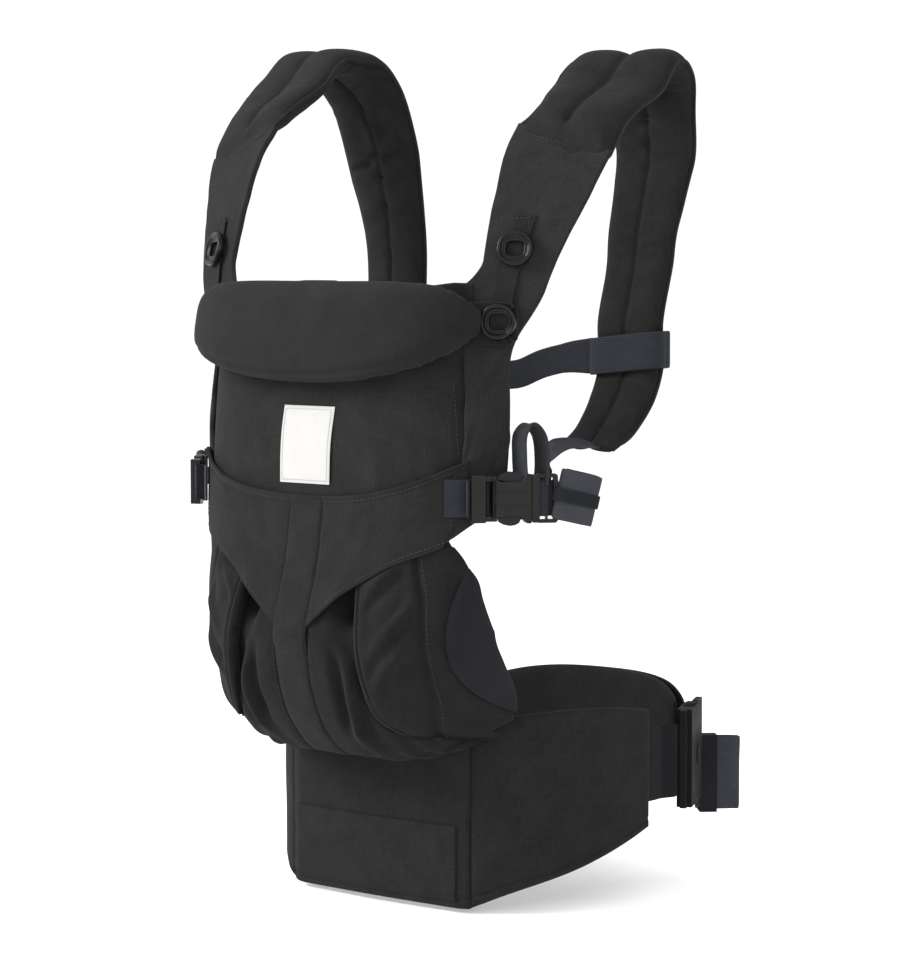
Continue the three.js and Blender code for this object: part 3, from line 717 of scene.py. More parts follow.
def pouch_cloth(t, z):
    base = skin(z, t, 0.0)
    x, far, row, z = base[..., 0], abs(base[..., 0]), z, base[..., 2]
    edge = gusset_edge(z)
    tip = hump(z, 52, 84, 140, 160)
    out = -SKIN_DEPTH + 0.9 * noise(base, 34, 5) + 0.45 * noise(base, 11, 6)
    out -= 6.5 * smoothstep(far, edge - 24, edge - 5) * tip
    out -= 2.0 * smoothstep(far, edge - 6, edge)
    out -= 11.0 * bump(far, 43, 8) * bump(z, 120, 13)
    fold = 37 + 9 * np.sin((z - 20) / 30) + 0.10 * (70 - z)
    out += 3.2 * bump(far - fold, 0, 5.0) * hump(z, 14, 34, 66, 96)
    out -= 5.0 * bump(far - fold, -8, 4.5) * hump(z, 24, 44, 72, 98)
    out -= 2.6 * bump(far - fold, 9, 5.0) * hump(z, 14, 30, 70, 100)
    out -= 1.0 * bump(far, 14, 1.0) + 0.7 * bump(far, 14, 4)
    gather = 1 - smoothstep(z, 12, 42)
    out += 1.1 * gather * np.sin(x / 3.1 + 2.0 * noise(base, 30, 7)) * smoothstep(far, 20, 50)
    out -= 1.4 * bump(row, 10.2, 0.35) + 3.0 * smoothstep(far, 86, 98)
    out = np.minimum(out, mix(9.0, -1.8, smoothstep(z - v_low(x), -8, 3)))
    return skin(row, t, -out)


def gusset_cloth(t, z):
    base = skin(z, t, 0.0)
    row, z = z, base[..., 2]
    far = abs(base[..., 0])
    seam = curve(GUSSET_SEAM, z)
    edge = gusset_edge(z)
    out = -1.4 + 0.8 * noise(base, 40, 8) + 0.4 * noise(base, 13, 9)
    slanted = stacked((far - 0.75 * (z - 90)) / 8.5, z / 42, 0 * z)
    inside = smoothstep(far, edge + 4, edge + 14) * (1 - smoothstep(far, seam - 12, seam - 3))
    out += 3.2 * inside * noise(slanted, 1, 10) * smoothstep(z, 30, 60)
    out += 2.0 * bump(far, (edge + seam) / 2, 12)
    out -= 3.0 * bump(far, seam, 1.7) + 1.2 * bump(far, seam, 6)
    out -= 1.0 * bump(far, edge + 4.5, 1.1)
    leg = curve(LEG_EDGE, z)
    out -= 2.6 * smoothstep(far, leg - 5, leg + 2) * (1 - smoothstep(z, 134, 142))
    out = np.minimum(out, mix(9.0, -2.6, smoothstep(z - v_low(far), -9, 2)))
    return skin(row, t, -out)


def grid_between(surface, x_low, x_high, z_low, z_high, rows, columns):
    """A grid on a body surface. Its side edges are x at a height z, and its ends are z at an x."""
    a, b = np.meshgrid(spread(columns), spread(rows))
    x = mix(-100.0, 100.0, a)
    z = mix(10.0, 200.0, b)
    for _ in range(40):
        x = mix(x, mix(x_low(z), x_high(z), a), 0.5)
        z = mix(z, mix(z_low(x), z_high(x), b), 0.5)
    height, t = nominal(x, z)
    return surface(np.clip(t, -1, 1), height)


def constant(value):
    return lambda x: np.zeros_like(x) + value


def pouch_hem(x):
    return 7.65 + LIFT * (abs(x) / 108) ** 4


BODY_MIDDLE = (0, -60, 190)


def body_sheet(name, grid, thick, nodes, material=CANVAS, roll=None):
    return placed(sheet_piece(name, grid, thick, material, BODY_MIDDLE, roll), "root", *nodes)


def panel_top(x):
    return PANEL_TOP + 2 * smoothstep(abs(x), 84, 106)


def make_body():
    edge = lambda z: 0.90 * half_width(z)
    grid = grid_between(panel_cloth, lambda z: -edge(z), edge, constant(172), panel_top, 150, 220)
    body_sheet("body_panel", grid, 7.0, ["front_panel"], roll=2.5)
    side = lambda z: GUSSET_SIDE * half_width(z) + 0.5 - 8.0 * (1 - smoothstep(z, 156, 186))
    grid = grid_between(vee_cloth, lambda z: -side(z), side, v_low, v_top, 150, 260)
    vee = body_sheet("v_panel_cloth", grid, 2.4, ["v_panel"])
    reach = lambda z: np.minimum(gusset_edge(z) + 9, 98)
    grid = grid_between(pouch_cloth, lambda z: -reach(z), reach, pouch_hem, constant(176), 220, 240)
    # The pouch takes the darker canvas copy, which is painted shade.
    pouch = body_sheet("seat_pouch_cloth", grid, 3.0, ["seat_pouch"], SHADED_POUCH)
    make_centre_strip()
    for suffix, sign in SIDES:
        make_gusset(suffix, sign)
        make_leg_pad(suffix, sign)


def make_centre_strip():
    """The strip down the middle, over the V panel and then over the pouch."""
    a, b = np.meshgrid(spread(40), spread(200, 0.3))
    z = mix(12.5, 184.5, b)
    height, t = nominal(mix(-14.2, 14.2, a), z)
    under = mix(pouch_cloth(t, height), vee_cloth(t, height), smoothstep(z, 82, 99)[..., None])
    strip = body_sheet("centre_strip_cloth", under + 0.6 * skin_out(height, t), 1.2, [])


def make_gusset(suffix, sign):
    outer = lambda z: np.minimum.reduce([curve(LEG_EDGE, z) + 7, curve(GUSSET_OUT, z), edge_half(z) - 0.6])
    low = lambda x: (27 + pouch_hem(x) + np.sqrt((pouch_hem(x) - 27) ** 2 + 9)) / 2
    grid = grid_between(gusset_cloth, gusset_edge, outer, low, constant(172), 150, 120)
    thick = mix(2.5, 8.0, smoothstep(grid[..., 2], 34, 70))
    name, nodes = f"thigh_gusset_cloth{suffix}", [f"thigh_gusset{suffix}"]
    # The gussets take the darker canvas copy, which is painted shade.
    body_sheet(name, grid * [sign, 1, 1], thick, nodes, SHADED, roll=3.0)


def make_leg_pad(suffix, sign):
    a, b = np.meshgrid(spread(80), spread(130))
    z = mix(45.0, 143.5, b)
    start, end = curve(LEG_EDGE, z), np.minimum(curve(LEG_OUT, z), edge_half(z))
    height, t = nominal(mix(start, np.maximum(end, start + 0.4), a), z)
    t = np.minimum(t, 1.0)
    crown = (4 * a * (1 - a)) ** 0.5 * (4 * b * (1 - b)) ** 0.3
    out = -2.0 + 3.4 * crown + 0.5 * noise(skin(height, t, 0), 18, 12)
    front = skin(height, t, -out)
    back = skin(height, t, 3.0 + mix(13.0, 7.0, b**2) * crown ** 0.5)
    made = two_sided(f"leg_pad_cloth{suffix}", front * [sign, 1, 1], back * [sign, 1, 1], LINING)
    placed(made, "root", f"leg_pad{suffix}")


# ---------------------------------------------------------------- label
LABEL_LOW, LABEL_HIGH = 194.5, 245.5
LABEL_HALF = 22.0


def label_skin(x, z, lift):
    """Points and normals of the label's face, which leans a little to one side."""
    share = (z - LABEL_LOW) / (LABEL_HIGH - LABEL_LOW)
    height, t = nominal(x - 3.5 * (1 - share) - 4.0 * share * (1 - share), z)
    depth = SKIN_DEPTH - lift - 0.6 * noise(skin(height, t), 30, 13)
    return skin(height, t, depth), skin_out(height, t)


def make_label():
    a, b = np.meshgrid(np.linspace(0, 1, 40), np.linspace(0, 1, 46))
    lift = 1.5 + 0.35 * (4 * a * (1 - a)) ** 0.4 * (4 * b * (1 - b)) ** 0.4
    grid = label_skin(mix(-LABEL_HALF, LABEL_HALF, a), mix(LABEL_LOW, LABEL_HIGH, b), lift)[0]
    made = body_sheet("label_cloth", grid, 0.8, ["label"], LABEL)
    side, low, high = LABEL_HALF - 2.2, LABEL_LOW + 2.2, LABEL_HIGH - 2.2
    corners = np.array([(-side, low), (side, low), (side, high), (-side, high)])
    s = np.linspace(0, 1, 30)[:, None]
    pairs = zip(corners, np.roll(corners, -1, axis=0))
    lines = [label_skin(*mix(first, second, s).T, 1.9) for first, second in pairs]
    border = stitches("label_stitches", lines, pitch=2.2, long=1.6, thick=0.4, material=WHITE_THREAD)
    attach(border, "root")


# ---------------------------------------------------------------- head support
PILLOW_HALF = 121.0
PILLOW_MIDDLE = 2.0
PILLOW_TOP = 328.0
PILLOW_THICK = 15.0


def pillow_top(u):
    return PILLOW_TOP - 9 * abs(u) ** 6


def pillow_low(u):
    return PILLOW_TOP - 46 - 22 * (1 - abs(u) ** 2.3)


def pillow_back(x, z):
    """Where the pillow's back is: on the panel at its top, and hanging a little clear of it below."""
    on_panel = skin(np.clip(z, 200, PANEL_TOP), np.clip(x / 132, -0.93, 0.93), SKIN_DEPTH)[..., 1] - 1.2
    return on_panel - 5.0 * (1 - smoothstep(z, 262, 305)) + 3.0 * smoothstep(abs(x), 95, 122)


def make_pillow():
    a, b = np.meshgrid(spread(220, 0.9), spread(90, 0.9))
    u, v = 2 * a - 1, 2 * b - 1
    tall = np.maximum((pillow_top(u) - pillow_low(u)) / 2 * dome(u, 10, 0.45), 0.4)
    x, z = PILLOW_MIDDLE + PILLOW_HALF * u, (pillow_top(u) + pillow_low(u)) / 2 + tall * v
    place = stacked(x, pillow_back(x, z), z)
    crown = dome(v, 3.2, 0.55) * dome(u, 9)
    swell = PILLOW_THICK * crown * (0.93 + 0.05 * noise(place, 50, 14) + 0.02 * noise(place, 14, 15))
    forward = np.array([0, -1, 0])
    front = place + forward * (swell + 4.5)[..., None]
    back = place + forward * (1 - crown)[..., None]
    made = two_sided("head_support_pillow", front, back, PILLOW)
    puffed(made, 4.0, 4.0, 6.0, give=(0.15, 1, 0.1))
    points = mesh_points(made)
    x, z = points[:, 0], points[:, 2]
    u = np.clip((x - PILLOW_MIDDLE) / PILLOW_HALF, -1, 1)
    depth = pillow_back(x, z) - points[:, 1]
    points[:, 1] -= np.maximum(0.6 - depth, 0)
    points[:, 1] += 2.2 * bump(z - pillow_low(u), 7.5, 1.8) * smoothstep(depth, 3, 8) * (1 - abs(u) ** 8)
    move_points(made, points)
    lay_cloth(made.data, stacked(x, z))
    placed(made, "head", "head_support")


# ---------------------------------------------------------------- shoulder straps
class Route:
    """A smooth centripetal curve through points, measured along its length from 0 to 1."""

    def __init__(self, points, steps=60):
        points = np.asarray(points, float)
        full = np.concatenate([[2 * points[0] - points[1]], points, [2 * points[-1] - points[-2]]])
        made = []
        for k in range(len(points) - 1):
            p0, p1, p2, p3 = full[k:k + 4]
            d0, d1, d2 = (math.sqrt(np.linalg.norm(b - a)) for a, b in ((p0, p1), (p1, p2), (p2, p3)))
            m1 = ((p1 - p0) / d0 - (p2 - p0) / (d0 + d1) + (p2 - p1) / d1) * d1
            m2 = ((p2 - p1) / d1 - (p3 - p1) / (d1 + d2) + (p3 - p2) / d2) * d1
            s = np.linspace(0, 1, steps, endpoint=False)[:, None]
            square, cube = 3 * (p2 - p1) - 2 * m1 - m2, 2 * (p1 - p2) + m1 + m2
            made.append(p1 + m1 * s + square * s**2 + cube * s**3)
        self.points = np.concatenate(made + [points[-1:]])
        run = run_of(self.points)
        self.length = run[-1]
        self.run = run / run[-1]

    def at(self, s):
        return points_at(s, self.run, self.points)

    def spaced(self, count):
        return self.at(np.linspace(0, 1, count))

    def tangent(self, s, step=0.004):
        s = np.asarray(s, float)
        return unit(self.at(np.minimum(s + step, 1)) - self.at(np.maximum(s - step, 0)))


BASE_ROUTE = Route(STRAP_LINE[:BASE_END + 1])
PAD_ROUTE = Route(np.concatenate([[[140.5, -84.5, 433.6]], STRAP_LINE[BASE_END + 1:]]))
BASE_HEIGHTS = (BASE_ROUTE.spaced(200)[:, 2], np.linspace(0, 1, 200))


def handed(points, sign):
    """The left strap's points as it hangs, or their mirror image with its higher, fuller shoulder."""
    made = np.array(points, float) * [sign, 1, 1]
    y, z = made[..., 1].copy(), made[..., 2].copy()
    behind = smoothstep(y, -70, -10)
    if sign > 0:
        made[..., 0] += 9 * smoothstep(z, 292, 345) * (1 - 0.7 * smoothstep(z, 400, 450)) * behind
        made[..., 0] -= 8 * (1 - smoothstep(z, 232, 275)) * behind
        made[..., 2] -= 8 * (1 - smoothstep(z, 218, 262)) * behind
        return made
    made[..., 0] += 4 * bump(z, 425, 35) * behind
    made[..., 2] += (10 + 3 * smoothstep(y, -45, 5)) * smoothstep(z, 390, 480)
    front = bump(y, -48, 18) * smoothstep(z, 425, 445)
    crest = smoothstep(y, -35, -8) * smoothstep(z, 430, 465)
    made[..., 2] += 4 * front + (made[..., 0] + 140) * (0.12 * crest - 0.11 * front)
    made[..., 1] += 6 * smoothstep(z, 400, 490)
    return made


def base_side(s):
    return turned(mix(25, 20, np.asarray(s, float)))


def base_out(s):
    return unit(np.cross(base_side(s), BASE_ROUTE.tangent(s)))


def base_width(s):
    return between([30, 33, 42, 54, 63, 67], s)


WING_IN = 0.855


def wing_cloth(a, z):
    """The side wing and the strap base that it runs up into. a is 0 at the inner edge and 1 at the outer."""
    s = np.interp(z, *BASE_HEIGHTS)
    out = base_out(s)
    flare = 10 * hump(z, 285, 305, 318, 340) + 13 * hump(z, 250, 280, 305, 330) + 2 * smoothstep(z, 380, 425)
    shift = (a - 0.5) * base_width(s) - flare * (1 - a) ** 3 + 7 * smoothstep(z, 274, 305) * a
    flat = BASE_ROUTE.at(s) + base_side(s) * shift[..., None] + out * 3.0
    t = mix(mix(0.79, WING_IN, smoothstep(z, 176, 204)), 0.998, a)
    low = np.minimum(z, 300)
    wrap = skin(low, t, SKIN_DEPTH - 1.0)
    wrap[..., 2] += z - low
    place = mix(wrap, flat, smoothstep(z, 262, 322)[..., None])
    fold = 0.9 * noise(place, 30, 16) + 0.4 * noise(place, 11, 17)
    slanted = stacked((z - 90 * a) / 13, a * 2, 0 * z)
    fold += 1.1 * noise(slanted, 1, 18) * bump(z, 232, 34)
    return place + out * fold[..., None]


def base_top(a):
    """The height of the strap base's upper end, where it meets the padding."""
    return mix(428.0, 409.0, a)


def make_wings():
    a, b = np.meshgrid(spread(70), spread(220, 0.4))
    left = wing_cloth(a, mix(mix(159.0, 177.0, smoothstep(a, 0, 0.9)), base_top(a), b))
    faces = rolled(left, normals(left, (0, 0, 300)), 4.0, 1.6)
    for suffix, sign in SIDES:
        front, back = (handed(face, sign) for face in faces)
        # The left strap base takes the lighter canvas copy, which is painted light; the right one keeps the
        # plain canvas.
        made = two_sided(f"strap_base_cloth{suffix}", front, back, LIT_STRAP_CANVAS if sign > 0 else CANVAS)
        placed(made, "root", f"strap_base{suffix}")


PAD_TURN = [20, 19, 14, 6, 0, 0, 0, 0, 0, 0]
PAD_WIDTH = [69, 71, 71, 66, 61, 56, 54, 54, 54, 46]
PAD_THICK = [17, 17, 17, 17, 17, 17, 17, 17, 9]
PAD_FIRST = -29.0  # where the middle of the padding's first seam is, along the strap
PAD_SKEW = 10.0  # how much lower the outer end of that seam is than the middle
PAD_RIM = 0.95  # where the padding's edge seam is, as a share of its half width
PAD_LONG = PAD_ROUTE.length
JOINED_ROUTE = Route(STRAP_LINE)
PAD_START = JOINED_ROUTE.length - PAD_LONG


def pad_frame(along):
    """Middle, side and outward directions at a length along the padding, which may start below it."""
    s = (along + PAD_START) / JOINED_ROUTE.length
    tangent = JOINED_ROUTE.tangent(s, 0.01)
    side = turned(np.where(along < 0, 20 - along * 0.03, between(PAD_TURN, along / PAD_LONG)))
    side = square_to(side, tangent)
    return JOINED_ROUTE.at(s), side, unit(np.cross(side, tangent))


def pad_face(v, u, outside, seed, fuller):
    """A face of the padding. v runs from 0 to 1 along it and u from -1 to 1 across it. fuller is 1 for the
    wider, more creased strap and 0 for the other."""
    first = PAD_FIRST - PAD_SKEW * u
    along = mix(first, PAD_LONG, v)
    place, side, out = pad_frame(along)
    width = between(PAD_WIDTH, along / PAD_LONG) / 2 + 3.0 * (1 - smoothstep(along, 20, 90))
    width += fuller * (3 * bump(along, 45, 30) + 5 * bump(along, 115, 45))
    outer = mix(0.82, 1, smoothstep(along - first, 3, 15))
    inner = curve([(0, 0.88), (8, 0.79), (20, 0.78), (36, 0.91), (60, 1.0)], along - first)
    width *= np.where(u > 0, outer, mix(inner, outer, fuller))
    tall = between(PAD_THICK, along / PAD_LONG) / 2
    start = smoothstep(along - first, 6, 19)
    finish = 1 - smoothstep(along, PAD_LONG - 14, PAD_LONG)
    tall = 2.6 + (tall - 2.6) * np.minimum(mix(0.05, 1, start), mix(0.3, 1, finish))
    inside = np.clip(abs(u) / PAD_RIM, 0, 1)
    deep = (0.72 if outside else 0.14) * smoothstep(along - first, 10, 22)
    height = tall * mix(dome(inside, 5), dome(2 * inside - 1, 2.6), deep)
    soft = dome(u / PAD_RIM, 4, 1)
    fine = stacked(along / 9.0, u * 2.0, 0 * u)
    broad = stacked(along / 30.0, u * 1.4, 0 * u)
    height += soft * (0.8 * noise(broad, 1, seed) + 0.4 * noise(fine, 1, seed + 1))
    if outside:
        pull = bump(along, 25, 22) + 0.8 * bump(along, 240, 60)
        height -= 1.1 * pull * soft * np.maximum(noise(fine * [1.3, 0.5, 1], 1, seed + 2), 0)
    else:
        pull = 0.5 + mix(2.6, 4.2, fuller) * bump(along, mix(105, 150, fuller), mix(60, 42, fuller))
        folds = noise(fine * [1.0, 0.25, 1], 1, seed + 3)
        height += 2.2 * pull * soft * (0.3 - abs(folds)) * (1 - bump(u, 0, 0.2))
        height -= 0.5 * pull * soft * bump(folds, 0, 0.12)
        height -= 1.6 * bump(u, 0, 0.03) + 1.0 * bump(u, 0, 0.12)
    height = np.where(abs(u) < PAD_RIM, np.maximum(height, 1.25), 1.25)
    return place + side * (u * width)[..., None] + out * (height if outside else -height)[..., None]


def make_shoulder_pads():
    rim = PAD_RIM + np.array([-0.005, 0.005])
    u = np.sort(np.concatenate([spread(68, 0.5) * 2 - 1, rim, -rim]))
    u, v = np.meshgrid(u, spread(380, 0.4))
    for (suffix, sign), seed, fuller in zip(SIDES, (20, 30), (0, 1)):
        front, back = (handed(pad_face(v, u, outside, seed, fuller), sign) for outside in (True, False))
        made = two_sided(f"shoulder_pad_cushion{suffix}", front, back, CANVAS)
        placed(made, "root", f"shoulder_pad{suffix}")


# ---------------------------------------------------------------- buckles, buttons and small trim
def moulded(node, name, body, material=BLACK, bevel=0.5, segments=3):
    """A moulded piece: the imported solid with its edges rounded."""
    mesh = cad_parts[node].data.copy()
    mesh.materials.clear()
    made = added(name, mesh, material)
    made.modifiers.new("weld", "WELD").merge_threshold = 0.00002
    return placed(rounded(made, bevel, segments), body, node)


def box_cloth(node, name, body, material, bevel=1.0):
    """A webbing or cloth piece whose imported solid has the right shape, with soft edges."""
    made = moulded(node, name, body, material, bevel, 4)
    x, y, z = mesh_points(made).T
    lay_cloth(made.data, stacked(z, x + y))


class Frame:
    """A buckle's own frame: x along the pull, y across the webbing and z outwards."""

    def __init__(self, origin, along, up):
        self.origin = np.array(origin, float)
        self.axes = np.array([along, up, np.cross(along, up)], float)

    def at(self, points):
        return self.origin + np.asarray(points, float) @ self.axes

    def turn(self, directions):
        return np.asarray(directions, float) @ self.axes

    def moved(self, x, z, degrees):
        """A frame at (x, 0, z) in this one, turned about its outward axis."""
        c, s = math.cos(math.radians(degrees)), math.sin(math.radians(degrees))
        return Frame(self.at([x, 0, z]), self.turn([c, s, 0]), self.turn([-s, c, 0]))


def node_points(node):
    return np.array([v.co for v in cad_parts[node].data.vertices], float) / MM


def disc_frame(node):
    """A frame at the middle of a flat node that faces forwards, with y as near upright as it can be."""
    points = node_points(node)
    out = np.linalg.svd(points - points.mean(axis=0), full_matrices=False)[2][2]
    out = out if out[1] < 0 else -out
    up = unit(UP - out * out[2])
    return Frame((points.min(axis=0) + points.max(axis=0)) / 2, np.cross(up, out), up)


def inside_frame(place, node):
    """A node's lowest and highest places along a frame's own axes."""
    points = (node_points(node) - place.origin) @ place.axes.T
    return points.min(axis=0), points.max(axis=0)


BUTTON_WINDOW = np.array([6.0, 4.8])  # half the window across and up
BUTTON_RIM = 8.0  # how wide the section is from the window to the rim


def make_button(level, suffix):
    """A ring button: a raised rim round a dished plate with a window that the tape shows through."""
    node = f"head_button_{level}{suffix}"
    place = disc_frame(node)
    low, high = inside_frame(place, node)
    radius, thick = 0.93 * high[0], high[2] - low[2]
    knots = [(0, 0), (0, 0.5), (0.08, 0.62), (0.3, 0.62), (0.42, 0.64), (0.5, 0.78), (0.6, 0.97),
             (0.72, 1.0), (0.86, 0.97), (0.97, 0.72), (1, 0.4), (0.97, 0.1), (0.85, 0), (0.4, -0.02), (0, 0)]
    section = Route([(share * BUTTON_RIM, tall * thick, 0) for share, tall in knots]).spaced(49)[:-1]
    share, tall = np.clip(section[:, 0] / BUTTON_RIM, 0, 1), section[:, 1] + low[2]
    angle = np.linspace(0, 2 * np.pi, 97)[:-1]
    circle = stacked(np.cos(angle), np.sin(angle))
    window, rim = BUTTON_WINDOW * power(circle, 0.55), radius * circle
    plan = mix(window[:, None], rim[:, None], share[None, :, None])
    grid = np.concatenate([plan, np.broadcast_to(tall[None, :, None], plan.shape[:2] + (1,))], axis=-1)
    placed(ring_mesh(f"ring_button_{level}{suffix}", place.at(grid), GLOSS), "root", node)


def make_button_tab(suffix, sign):
    """The head support's tab, from the pillow's end to under the lower button."""
    place = disc_frame(f"head_button_lower{suffix}")
    top = inside_frame(place, f"head_tab{suffix}")[1][2]
    a, b = np.meshgrid(spread(60), spread(50))
    corner = 1 - 0.5 * np.maximum(2 * a - 1, 0) ** 8 * abs(2 * b - 1) ** 8
    x = mix(-25.0, 12.5, a) * corner * sign
    y = mix(-15.5, 12.5, b) * corner
    grid = place.at(stacked(x, y, top + 0.3 * noise(stacked(x, y, 0 * x), 12, 60)))
    made = sheet_piece(f"buttonhole_tab{suffix}", grid, 2.4, PILLOW, (0, 0, 300))
    placed(made, "head", f"head_tab{suffix}")


SIDE_BUCKLE = np.array([146.5, -138.5, 189.0])  # middle of the left side buckle's mouth
SIDE_PULL = 50.0  # the way its strap pulls, in degrees from the wearer's left towards the back


def side_frame(sign):
    return Frame(SIDE_BUCKLE * [sign, 1, 1], turned(SIDE_PULL) * [sign, 1, 1], UP * sign)


def make_side_socket(suffix, sign):
    """The socket: a bar for the tab, two waisted plates over the latches, and a mouth."""
    place = side_frame(sign)
    node = f"side_female{suffix}"
    low, high = inside_frame(place, node)
    long, half, thick = -low[0], high[1], high[2]
    back, wall = -long + 13.5, 1.8
    waist = [(back, 0.86), (back + 1.5, 0.84), (back + 3, 0.76), (back + 5.5, 0.70), (-8.5, 0.70),
             (-6, 0.76), (-4.2, 0.92), (-3, 1.0), (0, 1.0)]
    outline = [(x, half * share) for x, share in waist] + [(x, -half * share) for x, share in waist[::-1]]
    parts = [
        plate(-long, -long + 9, -half + 0.5, half - 0.5, -2.6, 4.2),
        plate(-long + 3, back + 3, half - 4.6, half - 1.2, -2.2, 2.2),
        plate(-long + 3, back + 3, -half + 1.2, -half + 4.6, -2.2, 2.2),
        plate(back, back + 2.5, -half * 0.8, half * 0.8, -thick, thick),
        prism(outline, thick - wall, thick),
        prism(outline, -thick, -thick + wall),
        plate(-3, 0, half - wall, half, -thick, thick),
        plate(-3, 0, -half, -half + wall, -thick, thick),
        plate(back + 2, -1, 4.2, 5.2, thick - 0.5, thick + 0.5),
        plate(back + 2, -1, -5.2, -4.2, thick - 0.5, thick + 0.5),
    ]
    placed(assembled(f"side_socket{suffix}", parts, place, BLACK, 0.6), "root", node)


def make_socket_tab(suffix, sign):
    """Webbing sewn to the wing, which runs out and loops round the socket's bar."""
    place = side_frame(sign)
    bar = inside_frame(place, f"side_female{suffix}")[0][0] + 4.5
    height, t = nominal(np.array([104.0, 110.0, 116.0]), 189.0)
    start = skin(height, t, -2.4) * [sign, 1, 1]
    round_bar = [[-7, 0, 0.5], [-4.6, 0, -2.6], [0, 0, -4.0], [5.0, 0, -3.4], [6.6, 0, -0.5]]
    line = Route(np.concatenate([start, place.at(np.array(round_bar) + [bar, 0, 0])])).spaced(90)
    made = band(f"socket_tab{suffix}", line, UP, STRAP_WEB - 1, WEBBING * 0.9, WEB, 20)
    placed(made, "root", f"buckle_tab{suffix}")


def closed_loop(half_x, half_z, square, count=80):
    """A closed round-cornered loop in x and z, as points with y 0."""
    a = np.linspace(0, 2 * np.pi, count)
    return stacked(half_x * power(np.cos(a), square), 0 * a, half_z * power(np.sin(a), square))


def make_sleeve(suffix, sign):
    """The cross strap's sleeve, wrapped round the padding."""
    loop = closed_loop(29.9, 10.9, 0.6, 120)[:, [0, 2, 1]]
    loop[:, 2] = 277 + 0.10 * loop[:, 0]
    line = (loop + [105, 22, 0]) * [sign, 1, 1]
    made = band(f"cross_strap_sleeve{suffix}", line, UP, STRAP_WEB, WEBBING, WEB, 20)
    placed(made, "cross_strap", f"cross_sleeve{suffix}")


def make_small_parts():
    for suffix, sign in SIDES:
        for level in ("upper", "lower"):
            make_button(level, suffix)
        make_button_tab(suffix, sign)
        box_cloth(f"button_webbing{suffix}", f"button_tape{suffix}", "root", CANVAS, 0.3)
        make_side_socket(suffix, sign)
        moulded(f"side_male{suffix}", f"side_plug{suffix}", f"side_plug{suffix}")
        for level in ("top", "low"):
            node = f"side_prong_{level}{suffix}"
            moulded(node, f"side_latch_{level}{suffix}", node, BLACK, 0.4)
        make_socket_tab(suffix, sign)
        make_sleeve(suffix, sign)
    moulded("cross_female", "cross_socket", "cross_strap")
    moulded("cross_male", "cross_buckle_plug", "cross_plug")
    moulded("waist_female", "waist_socket", "root", MATTE, 0.8)
    moulded("waist_male", "waist_buckle_plug", "waist_plug", MATTE, 0.8)
    moulded("waist_safety_button", "safety_button", "waist_safety", MATTE, 0.5)
    for level in ("top", "low"):
        moulded(f"cross_prong_{level}", f"cross_latch_{level}", f"cross_prong_{level}", BLACK, 0.4)
        moulded(f"waist_prong_{level}", f"waist_latch_{level}", f"waist_prong_{level}", MATTE, 0.6)
    box_cloth("waist_keeper", "waist_elastic_keeper", "waist_plug", ELASTIC, 0.5)


# ---------------------------------------------------------------- loose webbing
def rolled_web(name, place, middle, long, thick, width, turns=2.9):
    """Webbing rolled flat, as a spiral across its width."""
    a = np.linspace(0, 2 * np.pi * turns, 260)
    inward = a / (2 * np.pi)
    half_long = long / 2 - WEBBING / 2 - 1.35 * inward
    half_thick = thick / 2 - WEBBING / 2 - 1.3 * inward
    x = middle + half_long * power(np.cos(a), 0.45)
    y = 0.5 * np.sin(a * 0.5) + 0.25 * inward
    z = np.maximum(half_thick, 0.1) * power(np.sin(a), 0.6)
    # The roll takes the lighter webbing copy, which is painted light.
    return band(name, place.at(stacked(x, y, z)), place.axes[1], width, WEBBING * 0.8, LIT_ROLLED_WEB, across=16)


def make_tails():
    for suffix, sign in SIDES:
        plug = f"side_plug{suffix}"
        buckle = side_frame(sign)
        roll = buckle.moved(29.3, 1.5, -13 * sign)
        tail = rolled_web(f"rolled_tail{suffix}", roll, 0.0, 28.0, 9.2, 32.0)
        placed(tail, plug, f"webbing_tail{suffix}")
        loop = roll.at(closed_loop(14.6, 5.3, 0.45))
        keeper = band(f"elastic_keeper{suffix}", loop, roll.axes[1], 8.6, 0.9, ELASTIC)
        placed(keeper, plug, f"tail_keeper{suffix}")
        path = [[1.5, 0, -3], [5, 0, 0.4], [8.5, 0, 1.6], [11.5, 0, -1.8], [14.5, 0, -2.4], [18, 0, 0]]
        line = buckle.at(Route(path).spaced(40))
        placed(band(f"plug_webbing{suffix}", line, buckle.axes[1], STRAP_WEB - 2, WEBBING, WEB), plug)
    buckle = side_frame(1)
    path = [[8, 8, -6], [9, 24, -7], [7, 40, -8], [1, 46.5, -9],
            [-4.5, 41, -9], [-5.5, 26, -8], [-4.5, 8, -7]]
    line = buckle.at(Route(path).spaced(70))
    lean = buckle.turn([0.2, 0.05, 0.95])
    placed(band("webbing_loop_L", line, lean, STRAP_WEB - 1, WEBBING, WEB), "side_plug_L")
    radial = turned(45.0)
    place = Frame(radial * 146 + [0, 0, -22], radial, UP)
    placed(rolled_web("rolled_waist_tail", place, 15.5, 33.0, 9.2, 51.5), "waist_plug", "waist_tail")


# Middle lines of the loose webbing, at the left side's hand.
STRAP_WEB_LINES = {
    "_L": [[93, -13, 214], [98, -34, 215], [106, -62, 213],
           [120, -90, 209], [137, -112, 202], [150, -124, 196]],
    "_R": [[100.5, -11.5, 219.5], [106, -32, 221], [113, -54, 221],
           [126, -85, 215], [141, -108, 205], [154, -121, 197]],
}
